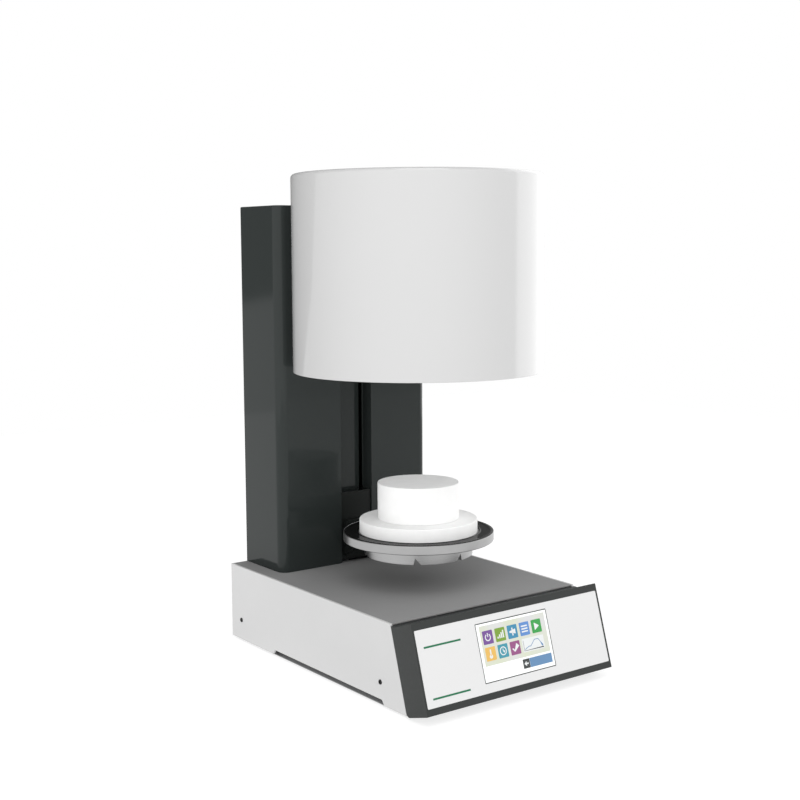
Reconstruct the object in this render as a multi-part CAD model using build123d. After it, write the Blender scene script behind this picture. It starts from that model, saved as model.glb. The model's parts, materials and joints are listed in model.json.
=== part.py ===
"""Vacuum porcelain furnace for a dental laboratory.

Frame: the centre of the footprint on the bench, +Z up, +Y to the back, +X to
the right of someone who faces the control panel.  Millimetres.
"""
from build123d import *
import math
import os

# ---------------------------------------------------------------- driving dimensions
CLEAR = 0.3                   # between pieces that move past each other
SHEET_GAP = 0.1               # between sheet-metal pieces that are screwed together
RUN_GAP = 0.05                # radial running clearance of shafts and rods
OVER = 1.0                    # how far a cut runs past what it cuts

# Base cabinet
BASE_W = 250.0                # width over the side panels
PANEL_H = 86.6                # height of the side panels
FOOT_GAP = 3.0                # bench to the underside of the side panels
PANEL_T = 2.5                 # side panel thickness
TOP_T = 2.0                   # top plate thickness
TOP_FOLD = 14.0               # depth of the top plate's folded edges
TOP_FOLD_SET = 8.0            # front edge of the top plate to its folds
PAN_T = 1.5                   # base pan sheet
PAN_LIFT = 5.2                # pan above the side panels' lower edge
PAN_SET = 6.0                 # housing to the pan's front flange
PAN_FRONT_H = 12.0            # height of the pan's front flange
PAN_SIDE_H = 27.3             # height of the pan's side flanges
PAN_SLOTS = 9                 # cooling slots in the pan
PAN_SLOT_W = 4.0
PAN_SLOT_L = 60.0
PAN_SLOT_STEP = 12.0
REAR_T = 1.5                  # rear panel sheet
NOTCH_H = 5.2                 # height of the hand notch under each side panel
NOTCH_REAR = 92.0             # rear face to the notch's rear end, at its foot
NOTCH_FRONT = 37.0            # notch's front end to the panel's lower front corner
NOTCH_SLOPE = 4.0             # how much each notch end leans in
FOOT_R = 9.0                  # rubber foot radius
FOOT_CHAMFER = 1.2
FOOT_INSET = 34.0             # foot centre to the side of the base
FOOT_REAR_INSET = 40.0        # rear foot centre to the rear face
FOOT_FRONT_INSET = 80.0       # front foot centre to the front corner
SCREW_R = 1.9                 # side panel screw head radius
SCREW_HEAD_T = 0.8
SCREW_SUNK = 0.2              # head below the panel's face
SCREW_SHANK_R = 1.5
SCREW_L = 6.0                 # panel face to the screw's tip
SCREW_GAP = 0.2               # radial clearance of screw holes
SCREW_HEX_R = 1.0             # hexagon socket in the head, over its corners
SCREW_HEX_DEPTH = 0.5
SIDE_SCREW_Z = 23.0           # side screws above the panel's lower edge
SIDE_SCREW_REAR = 22.0        # rear side screw to the rear face
SIDE_SCREW_FRONT = 43.5       # front side screw behind the panel's lower front corner

# Control housing, a slab that leans back on the front of the base
LEAN = 17.0                   # lean of the slab, degrees
SLAB_T = 34.0                 # thickness, square to its face
SLAB_LOW = 8.3                # lowest front corner above the side panels' lower edge
SLAB_FOOT_R = 7.0             # rounding of the lower rear edge
SLAB_LEDGE = 6.5              # flat ledge behind the raised top edge
LEDGE_DROP = 1.8              # top plate to the ledge
SLAB_WALL = 2.5               # moulding wall
SLAB_LOW_WALL = 4.5           # moulding under the cavity
SLAB_TOP_WALL = 6.0           # moulding above the cavity, under the ledge
POST_BOSS_R = 3.0             # screw bosses that carry the display
LABEL_T = 0.6                 # front overlay
LABEL_GAP = 0.2               # gap round the overlay
LABEL_SIDE = 2.2              # housing edge to overlay, at each side
LABEL_TOP = 7.6               # housing edge to overlay, above
LABEL_BOTTOM = 6.8            # housing edge to overlay, below
SCREEN_W = 96.4               # screen opening width
SCREEN_UP = 9.6               # overlay's lower edge to the screen opening
SCREEN_DOWN = 6.8             # screen opening to the overlay's upper edge
SCREEN_GAP = 0.2              # gap round the touch screen
SCREEN_SUNK = 0.1             # glass below the overlay's face
SCREEN_T = 1.6                # touch screen glass
DISPLAY_T = 6.3               # display module behind the glass
DISPLAY_PCB_T = 1.6           # its circuit board
DISPLAY_PCB_EDGE = 7.0        # board beyond the module, at each side
BOSS_INSET = 3.5              # boss centre to the board's edge
BOSS_ROW = 9.0                # boss centre to the screen's upper and lower edges
HEADER_W = 28.0               # connector on the display board
HEADER_L = 6.0
HEADER_T = 7.0
CHIP_W = 14.0
CHIP_T = 1.5
CHIP_UP = 26.0                # board's lower edge to the chip
HEADER_UP = 4.0               # board's lower edge to the connector

# Tower
TOWER_INSET = 21.0            # side of the base to the tower
TOWER_H = 416.0               # height above the base
TOWER_DEPTH = 80.5
TOWER_WALL = 1.5
TOWER_EDGE_R = 11.0           # rounded front uprights
GROOVE_W = 43.4               # lift groove in the tower front
GROOVE_DEPTH = 17.5
GROOVE_H = 270.4              # top of the groove above the base
SLOT_W = 5.2                  # slot for a carriage lug, one at each side of the groove
SLOT_EDGE = 0.8               # groove side wall to the slot
REAR_COVER_T = 1.2
REAR_COVER_LIP = 9.0          # folded edge of the tower that the rear cover is screwed to
VENT_ROWS = 9                 # cooling slots in the rear cover
VENT_ROW_STEP = 11.0
VENT_ROW_TOP = 40.0           # top of the tower to the first row
VENT_ROW_X = 40.0             # middle of a column of slots
VENT_ROW_L = 54.0
VENT_ROW_W = 4.0
COVER_SCREW_R = 3.0           # button-head screws of the rear cover
COVER_SCREW_H = 1.6
COVER_SCREW_EDGE_R = 0.8
COVER_SCREW_HEX_R = 1.3
COVER_SCREW_END = 16.0        # ends of the tower to its end screws
COVER_SCREW_MID = 212.6       # base to the middle screws
UPRIGHT_GAP = 4.0             # tower side to the inner frame's uprights
UPRIGHT_T = 2.5
UPRIGHT_FLANGE = 22.0
UPRIGHT_SET = 6.0             # uprights in front of the groove's back wall
UPRIGHT_TOP = 2.0             # tower's top sheet to the uprights

# Lift
ROD_R = 6.0                   # guide rod radius
ROD_X = 52.0                  # guide rod to the centre plane
ROD_END = 0.5                 # rod ends inside the bearing plates
ROD_SEAT = 0.02               # radial seat of the rods
LIFT_BACK = 17.0              # groove's back wall to the axes of rods and screw
LEAD_SCREW_R = 6.0
LEAD_SCREW_END = 0.8          # chamfer at the ends of its thread
SCREW_LEAD = 6.0              # lift per turn of the screw, two-start thread
JOURNAL_R = 5.0
JOURNAL_END = 3.0             # journal above the upper bearing
BEARING_R = 14.0
BEARING_PLATE_T = 8.0
BEARING_PLATE_SET = 1.0       # groove's back sheet to the plates
BEARING_PLATE_BACK = 4.8      # plates to the rear cover
UPPER_PLATE_H = 309.4         # upper bearing plate above the base
PLATE_BOLT_R = 3.4
PLATE_BOLT_INSET = 12.0
BLOCK_EDGE = 3.5              # bush bores to the carriage block's sides
BLOCK_D = 26.0                # carriage block, front to back
BLOCK_H = 62.0
BLOCK_UP = 15.0               # base to the block, with the table down
BLOCK_CHAMFER = 3.0
BUSH_R = 10.5                 # linear bush radius
BUSH_L = 29.0
NUT_R = 11.0
NUT_L = 43.4
NUT_FLANGE_R = 13.0
NUT_FLANGE_T = 6.0
LUG_T = 3.6                   # carriage lug thickness
LUG_UP = 14.0                 # foot of the cover plate to its lugs
LUG_H = 58.0
COVER_H = 80.7                # sliding cover plate
COVER_FOOT_GAP = 3.0          # base to the cover plate
COVER_T = 3.0
COVER_EDGE_R = 2.0
COVER_SET_BACK = 2.0          # tower front to the cover plate
GROOVE_GAP = 1.0              # cover plate to the groove's side walls
ARM_W = 34.0                  # lift arm
ARM_T = 10.0
ARM_DROP = 3.0                # flange to the arm
ARM_PAD_H = 44.0              # upright pad of the arm on the cover plate
ARM_PAD_UP = 6.0              # pad above the arm
ARM_PAD_T = 6.0
ARM_PAD_R = 4.0
ARM_HUB_R = 27.0
RIB_T = 4.0
RIB_L = 26.0
RIB_UP = 4.0                  # foot of the pad to the rib

# Firing table
TABLE_FROM_FRONT = 176.2      # lowest front corner of the housing to the table's axis
TABLE_UP = 48.2               # base to the flange, with the table down
SKIRT_R = 59.9
SKIRT_H = 15.9
SKIRT_WALL = 5.0
SKIRT_STEP = 3.2              # height of the slightly wider upper band
SKIRT_STEP_OUT = 1.2
FLANGE_R = 83.4
FLANGE_T = 9.6
FLANGE_CHAMFER = 0.8
SEAL_LIP = 1.2                # metal lip outside the seal
SEAL_T = 3.0
SEAL_PROUD = 0.4
SEAL_FIT = 0.1                # seal to the walls of its recess
SEAL_EDGE_R = 0.5
SEAL_INNER = 1.0              # disc to the seal's recess
DISC_R = 65.3
DISC_H = 14.0                 # lower insulating disc above the flange
DISC_SEAT = 5.0               # how deep the disc sits in the flange
DISC_FIT = 0.2
DISC_EDGE_R = 0.8
PEDESTAL_R = 45.0
PEDESTAL_H = 40.4
PEDESTAL_EDGE_R = 0.8
SPIGOT_R = 20.0               # locating spigot under the pedestal
SPIGOT_H = 5.0
TAB_COUNT = 3                 # tapered tabs of the skirt, between V notches
TAB_TURN = -104.5             # direction of the first tab, degrees from +X
TAB_HALF = 26.5               # tab's middle to its notches, degrees
NOTCH_STEEP = 2.1             # width of a notch's steep side, at the skirt's foot
NOTCH_SLANT = 7.5             # width of its slanted side, which tapers the tab
NOTCH_RISE = 7.5              # height of a V notch
ARM_KEEP = 30.0               # arm to the nearest notch, degrees

# Head
HEAD_R = 136.0
HEAD_CUT = 16.7               # depth of the cover's flat back, at the tower front
HEAD_UP = 235.2               # base to the cover's lower rim
HEAD_H = 211.4
HEAD_WALL = 1.5
HEAD_EDGE_R = 4.0
HEAD_GAP = 0.5                # tower front to the flat back of the cover
MOUTH_GAP = 1.5               # disc to the mouth, all round
PLATE_RECESS = 3.0            # chamber base plate above the cover's rim
PLATE_T = 8.0
PLATE_EDGE_GAP = 0.3          # chamber base plate to the cover
SEAL_CLOSE = 0.4              # what is left between seal and plate with the table up
COOLING_GAP = 28.0            # vessel to the cover, where the cooling air rises
VESSEL_WALL = 2.5
TERMINAL_SPACE = 41.2         # vessel to the cover's top
PORT_R = 5.0                  # pump port on the vessel
PORT_BORE_R = 3.0
PORT_L = 4.0
PORT_DROP = 24.0              # vessel's top to the port
LID_T = 8.0
LID_EDGE = 4.0                # lid beyond the vessel
LID_CHAMFER = 1.5
LOWER_RING_H = 11.0           # insulating ring round the mouth
MUFFLE_STEP = 9.3             # mouth to the muffle, all round
MUFFLE_WALL = 2.0
ROOF_T = 55.0                 # insulation above the firing chamber
LINING_GAP = 0.3              # fit between insulation, muffle and vessel
COIL_WIRE_R = 1.3
COIL_PITCH = 8.0
COIL_TURNS = 10
COIL_RISE = 5.0               # muffle's foot to the coil
PROBE_R = 3.0                 # thermocouple sheath
PROBE_GAP = 0.2
PROBE_DROP = 14.0             # sheath tip below the chamber's ceiling
PROBE_TIP_R = 2.6
PROBE_HEAD_R = 9.0
PROBE_HEAD_H = 14.0
PROBE_HEAD_EDGE_R = 2.0
POST_R = 5.0                  # posts that carry the cover
POST_INSET = 16.0             # vessel's outside to the posts' circle
POST_COUNT = 4
POST_THREAD_R = 1.9
HEAD_SCREW_R = 3.6            # screws of the cover's top
HEAD_SCREW_H = 1.6
HEAD_SCREW_EDGE_R = 0.9
HEAD_SCREW_SHANK_R = 1.8
HEAD_SCREW_HOLE_R = 2.2
HEAD_SCREW_L = 10.0
HEAD_SCREW_HEX_R = 1.5
HEX_DEPTH = 1.0               # hexagon sockets of the button heads
VENT_COUNT = 24               # cooling slots round the cover's top
VENT_EDGE = 14.0              # cover's edge to the slots
VENT_L = 18.0
VENT_W = 5.0
VENT_KEEP = 8.0               # flat back to the nearest slot
INTAKE_L = 13.0               # air slots in the chamber base plate
INTAKE_W = 4.0
BRACKET_W = 118.0             # bracket between chamber base plate and tower
BRACKET_T = 5.0
BRACKET_H = 132.0
BRACKET_EDGE = 20.0           # bracket's side to its window
BRACKET_FOOT = 44.0           # bracket's foot to its window
BRACKET_HEAD = 24.0           # window to the bracket's top
GUSSET_T = 4.0
GUSSET_H = 80.0
GUSSET_L = 14.0

# Drive and electrics inside the base
MOTOR_W = 42.0
MOTOR_H = 44.0
MOTOR_CHAMFER = 4.0
MOTOR_SHAFT_R = 2.5
MOTOR_SHAFT_L = 11.5          # shaft above the motor, and the same inside it
MOTOR_BOSS_R = 11.0
MOTOR_BOSS_H = 1.5
MOTOR_BRACKET_T = 2.0
MOTOR_BRACKET_EDGE = 12.0     # motor to the bracket's legs
MOTOR_OPENING = 6.0           # room round the motor in the top plate
COUPLING_R = 10.0
COUPLING_H = 22.0
COUPLING_GAP = 3.0            # motor to the coupling, and coupling to the base top
COUPLING_GROOVES = 3
COUPLING_GROOVE_H = 0.8
COUPLING_GROOVE_DEPTH = 2.5
COUPLING_GROOVE_STEP = 2.2
COUPLING_SLIT = 1.0
CABLE_X = -70.0               # cable opening in the top plate
CABLE_L = 40.0
CABLE_W = 16.0
FAN_W = 60.0
FAN_T = 15.0
FAN_SIDE = 35.0               # side of the base to the fan's axis
FAN_Z = 44.0                  # fan axis above the side panels' lower edge
FAN_WALL = 2.0
FAN_EDGE_R = 3.0
FAN_HUB_R = 14.0
FAN_STRUTS = 3
FAN_STRUT_W = 3.0
FAN_STRUT_T = 2.0
FAN_BLADES = 7
FAN_BLADE_T = 1.2
FAN_BLADE_PITCH = 38.0        # blade angle, degrees
FAN_TIP_GAP = 1.0
FAN_SHAFT_R = 1.5
FAN_HOLE_R = 2.0
FAN_HOLE_INSET = 5.0
FAN_BACK_GAP = 0.2            # fan to the rear panel
GRILLE_SLOTS = 7
GRILLE_SLOT_W = 4.0
GRILLE_EDGE = 3.0             # fan duct to the grille's slots
SOCKET_Z = 36.0               # inlet, switch, fuse and nipple above the side panels' lower edge
INLET_SIDE = 39.0             # side of the base to the mains inlet's axis
INLET_W = 27.0
INLET_H = 20.0
INLET_EAR = 9.0               # flange beyond the socket, at each side
INLET_LIP = 2.0               # flange beyond the socket, above and below
INLET_FLANGE_T = 2.5
INLET_FLANGE_R = 4.0
INLET_DEPTH = 20.0
INLET_WALL = 2.0
INLET_FLOOR = 4.0
INLET_CHAMFER = 4.0
BLADE_W = 2.0                 # contact blades in the inlet
BLADE_H = 5.0
BLADE_SET = 3.0               # flange to the blades' tips
BLADE_X = 7.0                 # outer blades to the middle one
BLADE_UP = 1.5                # outer blades above the inlet's axis
BLADE_DOWN = 2.5              # middle blade below it
SWITCH_FROM_INLET = 38.0
SWITCH_W = 13.0
SWITCH_H = 21.0
SWITCH_RIM = 3.0
SWITCH_RIM_T = 1.8
SWITCH_RIM_R = 2.0
SWITCH_WALL = 0.8
SWITCH_DEPTH = 18.0
SWITCH_WELL = 13.0            # depth of the rocker's well
SWITCH_PANEL_GAP = 1.0
ROCKER_Y = -4.0               # rocker pivot behind the rear face
ROCKER_TILT = 7.0             # rocker tilt each way, degrees
ROCKER_END_GAP = 1.2
ROCKER_BACK = 3.5             # pivot to the rocker's inner edge
ROCKER_BACK_HALF = 6.0
ROCKER_DISH = 1.2             # how much the rocker's face is dished
ROCKER_FACE = 5.6             # pivot to the rocker's tips
PIVOT_R = 1.2
PIVOT_L = 2.0
FUSE_FROM_SWITCH = 26.0
FUSE_R = 6.0
FUSE_L = 20.0                 # fuse holder behind the rear face
FUSE_CAP_EDGE = 2.0
FUSE_CAP_T = 5.0
FUSE_CAP_R = 1.0
FUSE_SLOT_L = 8.0
FUSE_SLOT_W = 1.2
NIPPLE_FROM_FAN = 43.0
NIPPLE_R = 4.5
NIPPLE_BORE_R = 2.5
NIPPLE_TIP = 0.8
NIPPLE_NUT_R = 7.5
NIPPLE_NUT_T = 4.0
NIPPLE_REACH = 12.0           # rear face to the nipple's tip
VALVE_W = 22.0                # solenoid valve
VALVE_L = 24.0
VALVE_LOW = 11.0              # nipple's axis to the valve body's underside
VALVE_HIGH = 9.0              # nipple's axis to its top
VALVE_COIL_R = 10.0
VALVE_COIL_H = 25.0
VALVE_LEG = 18.0
VALVE_LEG_L = 16.0
BOARD_T = 1.6                 # main circuit board
BOARD_LIFT = 6.0              # pan to the board
BOARD_W = 84.0
BOARD_L = 120.0
BOARD_SIDE = 13.0             # side of the base to the board
BOARD_FRONT = 62.0            # table's axis to the board's front edge
SPACER_R = 3.0
SPACER_INSET = 6.0
RELAYS = 3
RELAY_W = 16.0
RELAY_L = 28.0
RELAY_H = 16.0
RELAY_STEP = 22.0
RELAY_EDGE = 8.0              # board's side to the first relay
RELAY_FRONT = 10.0            # board's front to the relays
PROCESSOR_W = 24.0
PROCESSOR_H = 3.0
PROCESSOR_FRONT = 60.0        # board's front to the processor
CAPACITOR_R = 9.0
CAPACITOR_H = 22.0
CAPACITOR_EDGE = 22.0
CAPACITOR_FRONT = 72.0
TERMINAL_EDGE = 12.0
TERMINAL_L = 10.0
TERMINAL_H = 11.0
TERMINAL_BACK = 4.0
CORE_W = 60.0                 # transformer core
CORE_L = 52.0
CORE_H = 50.0
CORE_LIMB = 10.0              # width of the core's limbs and of its windows
CORE_SIDE = 51.0              # side of the base to the core's middle
CORE_FRONT = 4.0              # core's middle in front of the table's axis
WINDING_OUT = 8.0             # winding beyond the core, front and back
WINDING_GAP = 0.4
WINDING_R = 6.0

# ---------------------------------------------------------------- places worked out from them
TOWER_FROM_AXIS = HEAD_R - HEAD_CUT
BASE_DEPTH = TABLE_FROM_FRONT + TOWER_FROM_AXIS + TOWER_DEPTH
FRONT_Y = -(BASE_DEPTH + NIPPLE_REACH) / 2
REAR_Y = FRONT_Y + BASE_DEPTH
TABLE_Y = FRONT_Y + TABLE_FROM_FRONT
TOWER_Y = TABLE_Y + TOWER_FROM_AXIS
TOWER_W = BASE_W - 2 * TOWER_INSET
SIDE_X = BASE_W / 2
INNER_X = SIDE_X - PANEL_T - SHEET_GAP         # inside of the side panels
INNER_Y = REAR_Y - REAR_T - SHEET_GAP          # inside of the rear panel
Z0 = FOOT_GAP                                  # underside of the side panels
BASE_TOP = Z0 + PANEL_H
PAN_Z = Z0 + PAN_LIFT
PAN_TOP = PAN_Z + PAN_T

LEAN_RAD = math.radians(LEAN)
SIN_LEAN = math.sin(LEAN_RAD)
COS_LEAN = math.cos(LEAN_RAD)
SLAB_L = (PANEL_H - LEDGE_DROP - SLAB_LOW + SLAB_T * SIN_LEAN) / COS_LEAN
LABEL_W = BASE_W - 2 * LABEL_SIDE
LABEL_HIGH = SLAB_L - LABEL_TOP
SCREEN_LOW = LABEL_BOTTOM + SCREEN_UP
SCREEN_HIGH = LABEL_HIGH - SCREEN_DOWN
GLASS_BACK = SCREEN_SUNK + SCREEN_T
MODULE_BACK = GLASS_BACK + DISPLAY_T
BOSS_X = SCREEN_W / 2 + DISPLAY_PCB_EDGE - BOSS_INSET

GROOVE_BACK_Y = TOWER_Y + GROOVE_DEPTH
GROOVE_SHEET_Y = GROOVE_BACK_Y + TOWER_WALL
GROOVE_TOP = BASE_TOP + GROOVE_H
TOWER_TOP = BASE_TOP + TOWER_H
COVER_SHEET_Y = REAR_Y - TOWER_WALL - REAR_COVER_T
PLATE_HALF = TOWER_W / 2 - TOWER_WALL - UPRIGHT_GAP - UPRIGHT_T - SHEET_GAP

LIFT_Y = GROOVE_SHEET_Y + LIFT_BACK
LOWER_PLATE = BASE_TOP
UPPER_PLATE = BASE_TOP + UPPER_PLATE_H
COVER_Y = TOWER_Y + COVER_SET_BACK
COVER_Z = BASE_TOP + COVER_FOOT_GAP
BLOCK_W = 2 * (ROD_X + BUSH_R + BLOCK_EDGE)
BLOCK_Z = BASE_TOP + BLOCK_UP
BLOCK_Y = LIFT_Y - BLOCK_D / 2
LUG_X = GROOVE_W / 2 - SLOT_EDGE - SLOT_W / 2
MOTOR_TOP = BASE_TOP - TOP_T - COUPLING_H - COUPLING_GAP

FLANGE_Z = BASE_TOP + TABLE_UP
FLANGE_TOP = FLANGE_Z + FLANGE_T
SEAL_TOP = FLANGE_TOP + SEAL_PROUD
SKIRT_Z = FLANGE_Z - SKIRT_H
DISC_TOP = FLANGE_TOP + DISC_H
ARM_TOP = FLANGE_Z - ARM_DROP

HEAD_Z = BASE_TOP + HEAD_UP
HEAD_TOP = HEAD_Z + HEAD_H
HEAD_BACK_Y = TOWER_Y - HEAD_GAP
MOUTH_R = DISC_R + MOUTH_GAP
MUFFLE_R = MOUTH_R - MUFFLE_STEP
VESSEL_R = HEAD_R - COOLING_GAP
LINING_R = VESSEL_R - VESSEL_WALL - LINING_GAP
PLATE_Z = HEAD_Z + PLATE_RECESS
VESSEL_Z = PLATE_Z + PLATE_T
VESSEL_TOP = HEAD_TOP - TERMINAL_SPACE
LID_TOP = VESSEL_TOP + LID_T
RING_TOP = VESSEL_Z + LOWER_RING_H
CEILING = VESSEL_TOP - ROOF_T
POST_CIRCLE_R = VESSEL_R - POST_INSET
LIFT_TRAVEL = PLATE_Z - SEAL_TOP - SEAL_CLOSE

FAN_X = SIDE_X - FAN_SIDE
FAN_Y = INNER_Y + SHEET_GAP - FAN_BACK_GAP     # rear face of the fan
FAN_AXIS_Z = Z0 + FAN_Z
SOCKET_AXIS_Z = Z0 + SOCKET_Z
INLET_X = INLET_SIDE - SIDE_X
SWITCH_X = INLET_X + SWITCH_FROM_INLET
FUSE_X = SWITCH_X + FUSE_FROM_SWITCH
NIPPLE_X = FAN_X - NIPPLE_FROM_FAN


# ---------------------------------------------------------------- helpers
def save(shape, node):
    """Write one sub-part."""
    os.makedirs("parts", exist_ok=True)
    export_step(shape, f"parts/{node}.step")


def block(x0, x1, y0, y1, z0, z1):
    """Box between two corners."""
    centre = ((x0 + x1) / 2, (y0 + y1) / 2, (z0 + z1) / 2)
    return Pos(*centre) * Box(abs(x1 - x0), y1 - y0, z1 - z0)


def rod(x, y, z0, z1, radius):
    """Upright cylinder."""
    return Pos(x, y, (z0 + z1) / 2) * Cylinder(radius, z1 - z0)


def rod_y(x, z, y0, y1, radius):
    """Cylinder along Y."""
    return Pos(x, (y0 + y1) / 2, z) * Rot(X=90) * Cylinder(radius, y1 - y0)


def rod_x(y, z, x0, x1, radius):
    """Cylinder along X."""
    return Pos((x0 + x1) / 2, y, z) * Rot(Y=90) * Cylinder(radius, abs(x1 - x0))


def tube(x, y, z0, z1, outer, inner):
    """Upright tube."""
    return rod(x, y, z0, z1, outer) - rod(x, y, z0 - OVER, z1 + OVER, inner)


def turned(points):
    """Turned piece on the table's axis, from its profile of (radius, z) points."""
    outline = make_face(Polyline(*[(r, 0, z) for r, z in points], close=True))
    return Pos(0, TABLE_Y, 0) * revolve(outline, Axis.Z)


def side_profile(points, x0, x1):
    """Prism along X from an outline of (y, z) points."""
    outline = make_face(Polyline(*[(0, y, z) for y, z in points], close=True))
    return Pos(x0, 0, 0) * extrude(outline, amount=x1 - x0, dir=(1, 0, 0))


def front_profile(points, y0, y1):
    """Prism along Y from an outline of (x, z) points."""
    outline = make_face(Polyline(*[(x, 0, z) for x, z in points], close=True))
    return Pos(0, y0, 0) * extrude(outline, amount=y1 - y0, dir=(0, 1, 0))


def plan_profile(points, z0, z1):
    """Prism along Z from an outline of (x, y) points."""
    outline = make_face(Polyline(*points, close=True))
    return Pos(0, 0, z0) * extrude(outline, amount=z1 - z0)


def channel(half, sheet, low, high):
    """Section of a sheet folded down at both sides, as (x, z) points."""
    inner = half - sheet
    return [(-half, high), (half, high), (half, low), (inner, low),
            (inner, high - sheet), (-inner, high - sheet), (-inner, low), (-half, low)]


def hexagon(radius, depth):
    """Upright hexagonal prism, half above and half below its centre."""
    return extrude(RegularPolygon(radius, 6), depth / 2, both=True)


def slot(length, width, depth):
    """Upright prism with rounded ends, along X, half above and half below its centre."""
    return extrude(SlotOverall(length, width), depth / 2, both=True)


def round_edges(shape):
    """All circular edges of a shape."""
    return shape.edges().filter_by(GeomType.CIRCLE)


def group(solids):
    """Separate solids kept together in one node."""
    return Compound(children=list(solids))


def mirrored(shape):
    """The same piece on the other side of the centre plane."""
    return mirror(shape, about=Plane.YZ)


# ---------------------------------------------------------------- control housing
def slab_point(up, depth):
    """Point (y, z) of the leaning slab: up its face, and into it."""
    y = FRONT_Y + up * SIN_LEAN + depth * COS_LEAN
    z = Z0 + SLAB_LOW + up * COS_LEAN - depth * SIN_LEAN
    return (y, z)


def slab_plane(up, depth):
    """Work plane parallel to the face, local Y up the face, normal outwards."""
    y, z = slab_point(up, depth)
    return Plane(origin=(0, y, z), x_dir=(1, 0, 0), z_dir=(0, -COS_LEAN, SIN_LEAN))


def slab_box(width, up0, up1, depth0, depth1):
    """Box in the slab's own directions, centred on X."""
    sketch = slab_plane((up0 + up1) / 2, depth0) * Rectangle(width, up1 - up0)
    return extrude(sketch, amount=depth0 - depth1)


def slab_outline():
    """Side view of the housing, with its ledge behind the raised top edge."""
    back_y, back_z = slab_point(SLAB_L, SLAB_T)
    ledge = (back_y - SLAB_LEDGE, back_z)
    return [slab_point(0, 0), slab_point(SLAB_L, 0), ledge, (back_y, back_z), slab_point(0, SLAB_T)]


def control_housing():
    """Moulded slab, open at the back, with a recess for the overlay and the screen's window."""
    body = side_profile(slab_outline(), -SIDE_X, SIDE_X)
    foot = body.edges().filter_by(Axis.X).sort_by(Axis.Z)[0]
    body = fillet(foot, SLAB_FOOT_R)
    face_back = SLAB_WALL + LABEL_T
    cavity = slab_box(BASE_W - 2 * SLAB_WALL, SLAB_LOW_WALL, SLAB_L - SLAB_TOP_WALL, face_back, SLAB_T + OVER)
    recess = slab_box(LABEL_W, LABEL_BOTTOM, LABEL_HIGH, -OVER, LABEL_T)
    window = slab_box(SCREEN_W, SCREEN_LOW, SCREEN_HIGH, -OVER, SLAB_T / 2)
    body = body - cavity - recess - window
    for x in (-BOSS_X, BOSS_X):
        for up in (SCREEN_LOW + BOSS_ROW, SCREEN_HIGH - BOSS_ROW):
            section = slab_plane(up, face_back) * Pos(x, 0, 0) * Circle(POST_BOSS_R)
            body = body + extrude(section, amount=face_back - MODULE_BACK)
    return body


def front_overlay():
    """Printed film in the housing's recess, open at the screen."""
    film = slab_box(LABEL_W - 2 * LABEL_GAP, LABEL_BOTTOM + LABEL_GAP, LABEL_HIGH - LABEL_GAP, 0, LABEL_T)
    window = slab_box(SCREEN_W, SCREEN_LOW, SCREEN_HIGH, -OVER, LABEL_T + OVER)
    return film - window


def touch_screen():
    width = SCREEN_W - 2 * SCREEN_GAP
    return slab_box(width, SCREEN_LOW + SCREEN_GAP, SCREEN_HIGH - SCREEN_GAP, SCREEN_SUNK, GLASS_BACK)


def display_module():
    """Display behind the touch glass, held in the window by its board."""
    edge = 2 * SCREEN_GAP
    return slab_box(SCREEN_W - 2 * edge, SCREEN_LOW + edge, SCREEN_HIGH - edge, GLASS_BACK, MODULE_BACK)


def display_board():
    """Board on the housing's bosses, with its connector and controller."""
    low = SCREEN_LOW - BOSS_INSET
    back = MODULE_BACK + DISPLAY_PCB_T
    board = slab_box(SCREEN_W + 2 * DISPLAY_PCB_EDGE, low, SCREEN_HIGH + BOSS_INSET, MODULE_BACK, back)
    header = slab_box(HEADER_W, low + HEADER_UP, low + HEADER_UP + HEADER_L, back, back + HEADER_T)
    chip = slab_box(CHIP_W, low + CHIP_UP, low + CHIP_UP + CHIP_W, back, back + CHIP_T)
    return board + header + chip


# ---------------------------------------------------------------- base cabinet
def panel_front_y(z):
    """Front edge of the side panels, along the back of the leaning slab."""
    foot_y, foot_z = slab_point(0, SLAB_T)
    return foot_y + (z - foot_z) * SIN_LEAN / COS_LEAN + CLEAR


def side_screw_places():
    """Places (y) of the screws in each side panel."""
    return (REAR_Y - SIDE_SCREW_REAR, panel_front_y(Z0) + SIDE_SCREW_FRONT)


def side_panel():
    """Left panel: a plate with a hand notch below and a leaning front edge."""
    low_front = panel_front_y(Z0)
    notch_back = REAR_Y - NOTCH_REAR
    notch_front = low_front + NOTCH_FRONT
    outline = [
        (low_front, Z0),
        (notch_front, Z0),
        (notch_front + NOTCH_SLOPE, Z0 + NOTCH_H),
        (notch_back - NOTCH_SLOPE, Z0 + NOTCH_H),
        (notch_back, Z0),
        (REAR_Y, Z0),
        (REAR_Y, BASE_TOP),
        (panel_front_y(BASE_TOP), BASE_TOP),
    ]
    panel = side_profile(outline, -SIDE_X, -SIDE_X + PANEL_T)
    z = Z0 + SIDE_SCREW_Z
    for y in side_screw_places():
        panel = panel - rod_x(y, z, -SIDE_X - OVER, -SIDE_X + SCREW_SUNK + SCREW_HEAD_T, SCREW_R + SCREW_GAP)
        panel = panel - rod_x(y, z, -SIDE_X, -SIDE_X + PANEL_T + OVER, SCREW_SHANK_R + SCREW_GAP)
    return panel


def side_panel_screws():
    """Sunk socket-head screws that hold the side panels to the pan."""
    screws = []
    z = Z0 + SIDE_SCREW_Z
    for side in (-1, 1):
        face = side * (SIDE_X - SCREW_SUNK)
        seat = face - side * SCREW_HEAD_T
        tip = side * (SIDE_X - SCREW_L)
        for y in side_screw_places():
            head = rod_x(y, z, face, seat, SCREW_R)
            shank = rod_x(y, z, seat, tip, SCREW_SHANK_R)
            socket = Pos(face, y, z) * Rot(Y=90) * hexagon(SCREW_HEX_R, 2 * SCREW_HEX_DEPTH)
            screws.append(head + shank - socket)
    return group(screws)


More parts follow.
